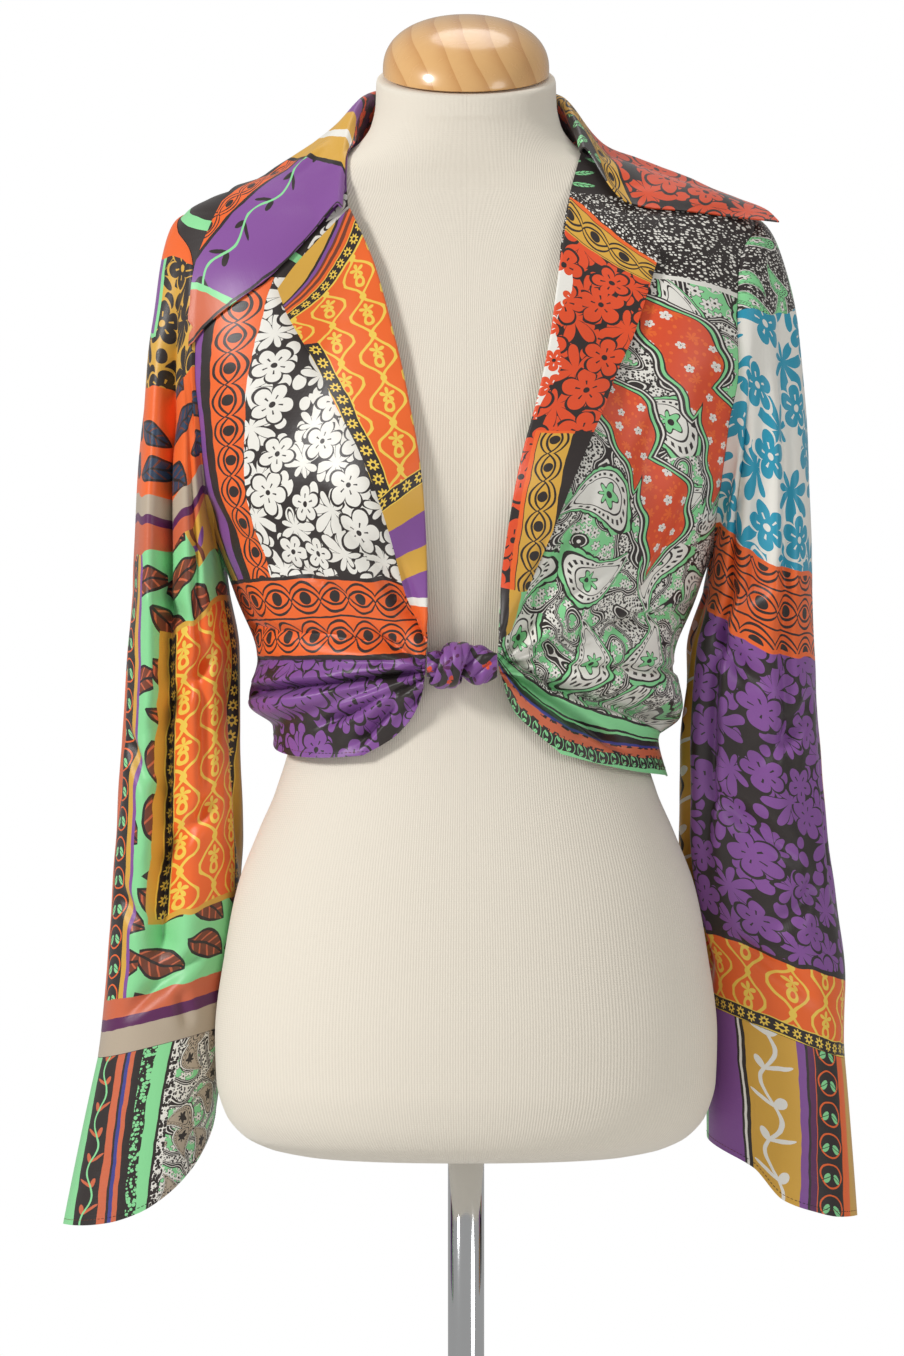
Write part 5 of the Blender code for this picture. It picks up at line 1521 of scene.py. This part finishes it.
def plain_floor():
    net = Net("pale floor")
    grain = net.noise(net.object_place(), 3, 2)
    pale = net.paint(grain * 0.3, (0.86, 0.86, 0.85, 1), (0.8, 0.8, 0.79, 1))
    net.fill(net.shader, Base_Color=pale, Roughness=grain * 0.1 + 0.6)
    return net.material


# The camera's offset to the side, its distance and height, and the frame's height, in metres
CAMERA_X, CAMERA_DISTANCE, CAMERA_HEIGHT, FRAME_TALL = -0.0097, 3.0, 0.844, 0.9356


def colour_prop(name, red, green, blue, description):
    """A colour property, from its usual screen values of 0 to 255."""
    return bpy.props.FloatVectorProperty(
        name=name, description=description, subtype="COLOR", size=4, min=0, max=1,
        default=(*(linear(c) for c in (red, green, blue)), 1),
    )


def length_prop(name, millimetres, description):
    return bpy.props.FloatProperty(
        name=name, description=description, default=millimetres * MM, min=0.0001,
        subtype="DISTANCE", unit="LENGTH",
    )


class BlouseSizes(bpy.types.PropertyGroup):
    cloth: length_prop("Cloth", CLOTH, "Thickness of one layer of satin")
    collar: length_prop("Collar cloth", 1.1, "Thickness of the collar, which is two layers")
    stitch: length_prop("Stitch", 2.2, "Length of one hem stitch")
    stitch_step: length_prop("Stitch step", 3.0, "Distance from one hem stitch to the next")
    thread: length_prop("Thread", 0.42, "Thickness of the sewing thread")
    hem: length_prop("Hem", 6.0, "Distance of the stitches from the hem")


class BlouseColours(bpy.types.PropertyGroup):
    black: colour_prop("Black", 46, 38, 36, "Ground of the dark panels, and the outlines")
    white: colour_prop("White", 238, 235, 226, "Pale flowers and grounds")
    orange: colour_prop("Orange", 241, 105, 40, "Orange panels and bands")
    orange_red: colour_prop("Orange red", 228, 80, 38, "Flowers on dark, and the seeded leaves")
    mustard: colour_prop("Mustard", 218, 168, 66, "Chain and vine bands, and strips")
    yellow: colour_prop("Yellow", 243, 206, 84, "Trellis on orange, and stars")
    purple: colour_prop("Purple", 134, 80, 154, "Knot, flowers and collar")
    plum: colour_prop("Plum", 94, 36, 86, "Narrow strips, and small leaves at the neck")
    mint: colour_prop("Mint", 140, 220, 153, "Leaves, stripes and paisleys")
    turquoise: colour_prop("Turquoise", 40, 156, 186, "Flowers on the white sleeve panel")
    navy: colour_prop("Navy", 46, 66, 92, "Leaves on the shoulder panel")
    brown: colour_prop("Brown", 120, 62, 42, "Leaves on mint, and strips on the right lapel")
    taupe: colour_prop("Taupe", 186, 170, 149, "Strips of the right sleeve, and its cuff's lace")
    terracotta: colour_prop("Terracotta", 208, 104, 68, "Terracotta leaves and strips")
    blue: colour_prop("Blue", 62, 64, 142, "Lines in the hem bands and on the right cuff")
    jersey: colour_prop("Jersey", 238, 229, 213, "Ribbed cover of the torso")
    wood: colour_prop("Wood", 228, 180, 118, "Pine of the neck cap")


class StudioSettings(bpy.types.PropertyGroup):
    key: bpy.props.FloatProperty(
        name="Key light", description="Power of the main front light",
        default=72, min=0, unit="POWER",
    )
    fill: bpy.props.FloatProperty(
        name="Fill light", description="Power of the second front light",
        default=15, min=0, unit="POWER",
    )
    backdrop: bpy.props.FloatProperty(
        name="Backdrop", description="Light of the white surroundings on the pieces",
        default=0.38, min=0,
    )


def rounded_rings(profile, count=96):
    """Rings round the upright axis through (radius, height) points, in millimetres."""
    turns = np.linspace(0, FULL_TURN, count, endpoint=False)
    radius, height = np.array(profile, float).T
    ring = np.stack([np.sin(turns), -np.cos(turns), np.zeros(count)], -1)
    return ring[None] * radius[:, None, None] + np.array([0, 0, 1.0]) * height[:, None, None]


def tilted(points):
    """Points moved from level to the slanted plane of the neck's top."""
    result = points.copy()
    result[..., 2] += NECK_SLANT * (result[..., 1] - NECK_CENTRE_Y)
    return result


def placed(piece, node_names):
    """Sets a finished piece on the body in place of its solids."""
    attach(piece, BODY)
    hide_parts(*node_names)
    return piece


def satin(name, made, material, side, node_name, closed=False):
    """One layer of satin in place of its solid."""
    thickness = bpy.context.scene.blouse_sizes.cloth / MM
    piece = wall(name, made, material, side, thickness, closed)
    return placed(piece, [node_name])


def stitch_tree(material):
    """Nodes that set small stitches along a path."""
    tree = bpy.data.node_groups.new("Hem stitches", "GeometryNodeTree")
    face = tree.interface
    face.new_socket("Path", in_out="INPUT", socket_type="NodeSocketGeometry")
    for name, value in (("Stitch length", 0.0022), ("Stitch step", 0.003), ("Thread", 0.0005)):
        socket = face.new_socket(name, in_out="INPUT", socket_type="NodeSocketFloat")
        socket.default_value, socket.subtype = value, "DISTANCE"
    seed = face.new_socket("Seed", in_out="INPUT", socket_type="NodeSocketInt")
    seed.default_value = 5
    face.new_socket("Stitches", in_out="OUTPUT", socket_type="NodeSocketGeometry")
    add = tree.nodes.new
    source, result = add("NodeGroupInput"), add("NodeGroupOutput")
    curve, resample = add("GeometryNodeMeshToCurve"), add("GeometryNodeResampleCurve")
    resample.mode = "LENGTH"
    thread, bulge = add("GeometryNodeMeshUVSphere"), add("GeometryNodeTransform")
    thread.inputs["Segments"].default_value, thread.inputs["Rings"].default_value = 6, 5
    thread.inputs["Radius"].default_value = 0.5
    size = add("ShaderNodeCombineXYZ")
    spread, align = add("GeometryNodeInstanceOnPoints"), add("FunctionNodeAlignRotationToVector")
    align.axis = "Z"
    tangent, lean = add("GeometryNodeInputTangent"), add("FunctionNodeRandomValue")
    lean.data_type = "FLOAT_VECTOR"
    lean.inputs["Min"].default_value, lean.inputs["Max"].default_value = (-0.07,) * 3, (0.07,) * 3
    tilt = add("ShaderNodeVectorMath")
    tilt.operation = "ADD"
    real, paint = add("GeometryNodeRealizeInstances"), add("GeometryNodeSetMaterial")
    paint.inputs["Material"].default_value = material
    smooth_shade = add("GeometryNodeSetShadeSmooth")
    for start, sent, end, taken in (
        (source, "Path", curve, "Mesh"),
        (curve, "Curve", resample, "Curve"),
        (source, "Stitch step", resample, "Length"),
        (source, "Thread", size, "X"),
        (source, "Thread", size, "Y"),
        (source, "Stitch length", size, "Z"),
        (thread, "Mesh", bulge, "Geometry"),
        (size, "Vector", bulge, "Scale"),
        (source, "Seed", lean, "Seed"),
        (tangent, "Tangent", tilt, 0),
        (lean, "Value", tilt, 1),
        (tilt, "Vector", align, "Vector"),
        (resample, "Curve", spread, "Points"),
        (bulge, "Geometry", spread, "Instance"),
        (align, "Rotation", spread, "Rotation"),
        (spread, "Instances", real, "Geometry"),
        (real, "Geometry", smooth_shade, "Geometry"),
        (smooth_shade, "Geometry", paint, "Geometry"),
        (paint, "Geometry", result, "Stitches"),
    ):
        tree.links.new(start.outputs[sent], end.inputs[taken])
    return tree


def stitched(name, paths, material):
    """One mesh of stitches along paths of points in millimetres."""
    corners, edges = [], []
    for path in paths:
        edges += [(len(corners) + k, len(corners) + k + 1) for k in range(len(path) - 1)]
        corners += (np.asarray(path) * MM + np.array([0, 0, LEVEL * MM])).tolist()
    mesh = bpy.data.meshes.new(name + " path")
    mesh.from_pydata(corners, edges, [])
    thing = bpy.data.objects.new(name, mesh)
    bpy.context.scene.collection.objects.link(thing)
    sizes = bpy.context.scene.blouse_sizes
    tree = stitch_tree(material)
    nodes = thing.modifiers.new("Stitches", "NODES")
    nodes.node_group = tree
    by_name = {i.name: i.identifier for i in tree.interface.items_tree if i.in_out == "INPUT"}
    nodes[by_name["Stitch length"]] = sizes.stitch
    nodes[by_name["Stitch step"]] = sizes.stitch_step
    nodes[by_name["Thread"]] = sizes.thread
    bpy.context.view_layer.update()
    sewn = thing.evaluated_get(bpy.context.evaluated_depsgraph_get())
    result = bpy.data.meshes.new_from_object(sewn)
    result.name = name
    thing.modifiers.clear()
    thing.data = result
    return thing


def hem_path(made, outward, back_from_edge, way=1):
    """Points just proud of a cloth wall, a little way in from its first or last (-1) row."""
    grid = made[0][::way]
    facing = (grid_normals(made[0], False) * outward)[::way]
    run = run_along(grid)
    proud = bpy.context.scene.blouse_sizes.cloth / MM / 2 + 0.1
    points = []
    for k in range(grid.shape[1]):
        at, out = (
            np.array([np.interp(back_from_edge, run[:, k], rows[:, k, i]) for i in range(3)])
            for rows in (grid, facing)
        )
        points.append(at + unit(out) * proud)
    return np.array(points)


class BLOUSE_OT_torso(bpy.types.Operator):
    """Make the smooth torso in its ribbed jersey"""

    bl_idname, bl_label = "blouse.torso", "Torso"

    def execute(self, context):
        grid = torso_grid()
        edge = unit((grid[-1] - grid[-1].mean(0)))
        rolled = ((0.1, 1.4), (0.5, 2.8), (1.4, 3.6), (3.0, NECK_RIM), (8.0, NECK_RIM))
        rim = [grid[-1] - edge * inset + np.array([0, 0, up]) for inset, up in rolled]
        torso = lathe("torso", np.concatenate([grid, np.array(rim)]), jersey())
        placed(torso, ["dress_form"])
        return {"FINISHED"}


class BLOUSE_OT_neck_cap(bpy.types.Operator):
    """Make the turned pine cap on the neck"""

    bl_idname, bl_label = "blouse.neck_cap", "Neck cap"

    def execute(self, context):
        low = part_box("neck_cap")[0]
        share = np.linspace(0, math.pi / 2, 40)
        power = 2 / CAP_SQUARENESS
        profile = [(CAP_RADIUS - 1.2, 0.3), (CAP_RADIUS - 0.3, 0.9), (CAP_RADIUS, 2.0)]
        rise = CAP_HEIGHT - CAP_FOOT
        profile += [
            (CAP_RADIUS * math.cos(a) ** power, CAP_FOOT + rise * math.sin(a) ** power)
            for a in share[:-1]
        ]
        profile.append((0.8, CAP_HEIGHT))
        rings = rounded_rings(profile, 128)
        rings[..., 1] += NECK_CENTRE_Y
        rings = tilted(rings)
        rings[..., 2] += low[2] / MM - LEVEL - rings[..., 2].min()
        cap = lathe("neck_cap_turned", rings, pine())
        placed(cap, ["neck_cap"])
        return {"FINISHED"}


class BLOUSE_OT_stand(bpy.types.Operator):
    """Make the chrome pole and the round steel base"""

    bl_idname, bl_label = "blouse.stand", "Pole and base"

    def execute(self, context):
        low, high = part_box("pole")
        bottom, top = low[2] / MM - LEVEL, high[2] / MM - LEVEL
        r = POLE_RADIUS
        profile = [(r - 0.6, bottom), (r, bottom + 0.6), (r, -250), (r, top - 0.6), (r - 0.6, top)]
        pole = lathe(
            "pole_tube",
            rounded_rings(profile),
            metal("chrome tube", (0.78, 0.79, 0.8), 0.05, 0.03, 0.03),
        )
        placed(pole, ["pole"])
        bottom, top = -LEVEL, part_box("base")[1][2] / MM - LEVEL
        b, h = BASE_RADIUS, HUB_RADIUS
        plate = bottom + 10
        profile = [
            (b - 1.5, bottom), (b - 0.4, bottom + 0.5), (b, bottom + 1.6), (b, plate - 2.5),
            (b - 1, plate - 0.9), (b - 3, plate), (b * 0.5, plate + 0.2), (h + 4, plate + 0.4),
            (h + 1, plate + 1.6), (h, plate + 4), (h - 0.4, top - 3), (h - 1.6, top - 1),
            (h - 4, top), (r + 1.2, top), (r + 0.2, top - 0.8),
        ]
        steel = metal("brushed steel", (0.6, 0.6, 0.61), 0.22, 0.16, 0.2)
        base = lathe("base_plate", rounded_rings(profile, 160), steel)
        placed(base, ["base"])
        return {"FINISHED"}


class BLOUSE_OT_fronts(bpy.types.Operator):
    """Make the two fronts, gathered into the knot"""

    bl_idname, bl_label = "blouse.fronts", "Fronts"

    def execute(self, context):
        for side, name, node, slot_name, make_print in (
            (-1, "right_front", "front_right", "white_floral", right_front_print),
            (1, "left_front", "front_left", "green_paisley", left_front_print),
        ):
            piece = satin(name, front_grid(side), make_print(), side, node)
        return {"FINISHED"}


class BLOUSE_OT_back(bpy.types.Operator):
    """Make the back"""

    bl_idname, bl_label = "blouse.back", "Back"

    def execute(self, context):
        piece = satin("back_panel", back_grid(), back_print(), 1, "back")
        return {"FINISHED"}


class BLOUSE_OT_lapels(bpy.types.Operator):
    """Make the two lapels, rolled over the fronts' edges"""

    bl_idname, bl_label = "blouse.lapels", "Lapels"

    def execute(self, context):
        for side, name, node, slot_name, make_print, under in (
            (-1, "right_lapel", "lapel_right", "orange_scroll", right_lapel_print, "right_front"),
            (1, "left_lapel", "lapel_left", "orange_flowers", left_lapel_print, "left_front"),
        ):
            piece = satin(name, lapel_grid(side), make_print(), side, node)
        return {"FINISHED"}


class BLOUSE_OT_sleeves(bpy.types.Operator):
    """Make the two sleeves, hung empty from the armholes"""

    bl_idname, bl_label = "blouse.sleeves", "Sleeves"

    def execute(self, context):
        for side, name, node, slot_name, make_print, hand in (
            (-1, "right_sleeve", "sleeve_right", "leaf_patchwork", right_sleeve_print, "right_"),
            (1, "left_sleeve", "sleeve_left", "purple_floral", left_sleeve_print, "left_"),
        ):
            piece = satin(name, sleeve_grid(side), make_print(), side, node, closed=True)
        return {"FINISHED"}


class BLOUSE_OT_cuffs(bpy.types.Operator):
    """Make the two long, pointed, open cuffs"""

    bl_idname, bl_label = "blouse.cuffs", "Cuffs"

    def execute(self, context):
        for side, name, node, slot_name, make_print, sleeve in (
            (-1, "right_cuff", "cuff_right", "mint_stripe", right_cuff_print, "right_sleeve"),
            (1, "left_cuff", "cuff_left", "plum_stripe", left_cuff_print, "left_sleeve"),
        ):
            piece = satin(name, cuff_grid(side), make_print(), side, node)
        return {"FINISHED"}


class BLOUSE_OT_collar(bpy.types.Operator):
    """Make the collar, its stand and two long points in one"""

    bl_idname, bl_label = "blouse.collar", "Collar"

    def execute(self, context):
        thickness = context.scene.blouse_sizes.collar / MM
        piece = wall("pointed_collar", collar_grid(), collar_print(), -1, thickness)
        placed(piece, ["collar"])
        return {"FINISHED"}


class BLOUSE_OT_knot(bpy.types.Operator):
    """Make the twisted roll and the turn of cloth that ties it"""

    bl_idname, bl_label = "blouse.knot", "Knot"

    def execute(self, context):
        material = knot_print()
        roll = lathe("twisted_roll", roll_grid(), material)
        placed(roll, ["tie_roll"])
        knot = lathe("knot_turn", knot_grid(), material, loop=True)
        placed(knot, ["tie_knot"])
        return {"FINISHED"}


class BLOUSE_OT_stitches(bpy.types.Operator):
    """Sew the narrow hems of the fronts, the back and the cuffs"""

    bl_idname, bl_label = "blouse.stitches", "Hem stitches"

    def execute(self, context):
        hem = context.scene.blouse_sizes.hem / MM
        paths = [hem_path(front_grid(side), side, hem)[3:-1] for side in (-1, 1)]
        paths.append(hem_path(back_grid(), 1, hem)[1:-1])
        paths += [hem_path(cuff_grid(side), side, hem * 0.6, -1)[2:-2] for side in (-1, 1)]
        piece = stitched("hem_stitches", paths, thread_finish())
        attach(piece, BODY)
        return {"FINISHED"}


class BLOUSE_OT_studio(bpy.types.Operator):
    """Set the pale floor, the soft lights and the camera"""

    bl_idname, bl_label = "blouse.studio", "Studio"

    def execute(self, context):
        scene, settings = context.scene, context.scene.studio
        floor = bpy.data.meshes.new("floor")
        turns = np.linspace(0, FULL_TURN, 64, endpoint=False)
        rim = [(2.2 * math.cos(a), 2.2 * math.sin(a), -0.0005) for a in turns]
        floor.from_pydata(rim, [], [list(range(64))])
        floor.materials.append(plain_floor())
        ground = bpy.data.objects.new("floor", floor)
        scene.collection.objects.link(ground)

        world = bpy.data.worlds.new("white surroundings")
        scene.world = world
        world.use_nodes = True
        nodes, links = world.node_tree.nodes, world.node_tree.links
        nodes.clear()
        seen, lit = nodes.new("ShaderNodeBackground"), nodes.new("ShaderNodeBackground")
        seen.inputs["Color"].default_value = (1, 1, 1, 1)
        seen.inputs["Strength"].default_value = 1.0
        lit.inputs["Color"].default_value = (1, 0.995, 0.985, 1)
        lit.inputs["Strength"].default_value = settings.backdrop
        ray, blend = nodes.new("ShaderNodeLightPath"), nodes.new("ShaderNodeMixShader")
        out = nodes.new("ShaderNodeOutputWorld")
        links.new(ray.outputs["Is Camera Ray"], blend.inputs[0])
        links.new(lit.outputs[0], blend.inputs[1])
        links.new(seen.outputs[0], blend.inputs[2])
        links.new(blend.outputs[0], out.inputs["Surface"])

        for name, place, power, size in (
            ("key light", (-2.5, -1.9, 2.3), settings.key, 0.75),
            ("fill light", (2.2, -2.2, 1.4), settings.fill, 1.2),
            ("top light", (0.1, 0.6, 3.2), settings.fill * 0.8, 1.4),
        ):
            data = bpy.data.lights.new(name, "AREA")
            data.shape, data.size, data.energy = "DISK", size, power
            lamp = bpy.data.objects.new(name, data)
            scene.collection.objects.link(lamp)
            lamp.location = place
            aim = Vector((0, 0, 0.9)) - Vector(place)
            lamp.rotation_mode = "QUATERNION"
            lamp.rotation_quaternion = aim.to_track_quat("-Z", "Y")

        camera = bpy.data.objects.new("camera", bpy.data.cameras.new("camera"))
        scene.collection.objects.link(camera)
        camera.location = (CAMERA_X, -CAMERA_DISTANCE, CAMERA_HEIGHT)
        camera.rotation_euler = (math.pi / 2, 0, 0)
        camera.data.sensor_fit = "VERTICAL"
        camera.data.sensor_width = camera.data.sensor_height = 36
        camera.data.lens = 18 / (FRAME_TALL / 2 / CAMERA_DISTANCE)
        scene.camera = camera
        scene.view_settings.view_transform = "Standard"
        scene.view_settings.look = "None"
        return {"FINISHED"}


class BLOUSE_PT_panel(bpy.types.Panel):
    """The blouse's sizes, colours and pieces"""

    bl_label, bl_idname = "Blouse", "BLOUSE_PT_panel"
    bl_space_type, bl_region_type, bl_category = "VIEW_3D", "UI", "Blouse"

    def draw(self, context):
        scene = context.scene
        for group in (scene.blouse_sizes, scene.blouse_colours, scene.studio):
            box = self.layout.box()
            for name in group.bl_rna.properties.keys():
                if name not in ("rna_type", "name"):
                    box.prop(group, name)
        for operator in OPERATORS:
            self.layout.operator(operator.bl_idname)


OPERATORS = (
    BLOUSE_OT_torso, BLOUSE_OT_neck_cap, BLOUSE_OT_stand, BLOUSE_OT_fronts, BLOUSE_OT_back,
    BLOUSE_OT_lapels, BLOUSE_OT_sleeves, BLOUSE_OT_cuffs, BLOUSE_OT_collar, BLOUSE_OT_knot,
    BLOUSE_OT_stitches, BLOUSE_OT_studio,
)
GROUPS = (BlouseSizes, BlouseColours, StudioSettings)


def register():
    for kind in GROUPS + OPERATORS + (BLOUSE_PT_panel,):
        bpy.utils.register_class(kind)
    bpy.types.Scene.blouse_sizes = bpy.props.PointerProperty(type=BlouseSizes)
    bpy.types.Scene.blouse_colours = bpy.props.PointerProperty(type=BlouseColours)
    bpy.types.Scene.studio = bpy.props.PointerProperty(type=StudioSettings)


def unregister():
    del bpy.types.Scene.blouse_sizes, bpy.types.Scene.blouse_colours, bpy.types.Scene.studio
    for kind in reversed(GROUPS + OPERATORS + (BLOUSE_PT_panel,)):
        bpy.utils.unregister_class(kind)


def main():
    register()
    for operator in OPERATORS:
        getattr(bpy.ops.blouse, operator.bl_idname.split(".")[1])()


if __name__ == "__main__":
    main()
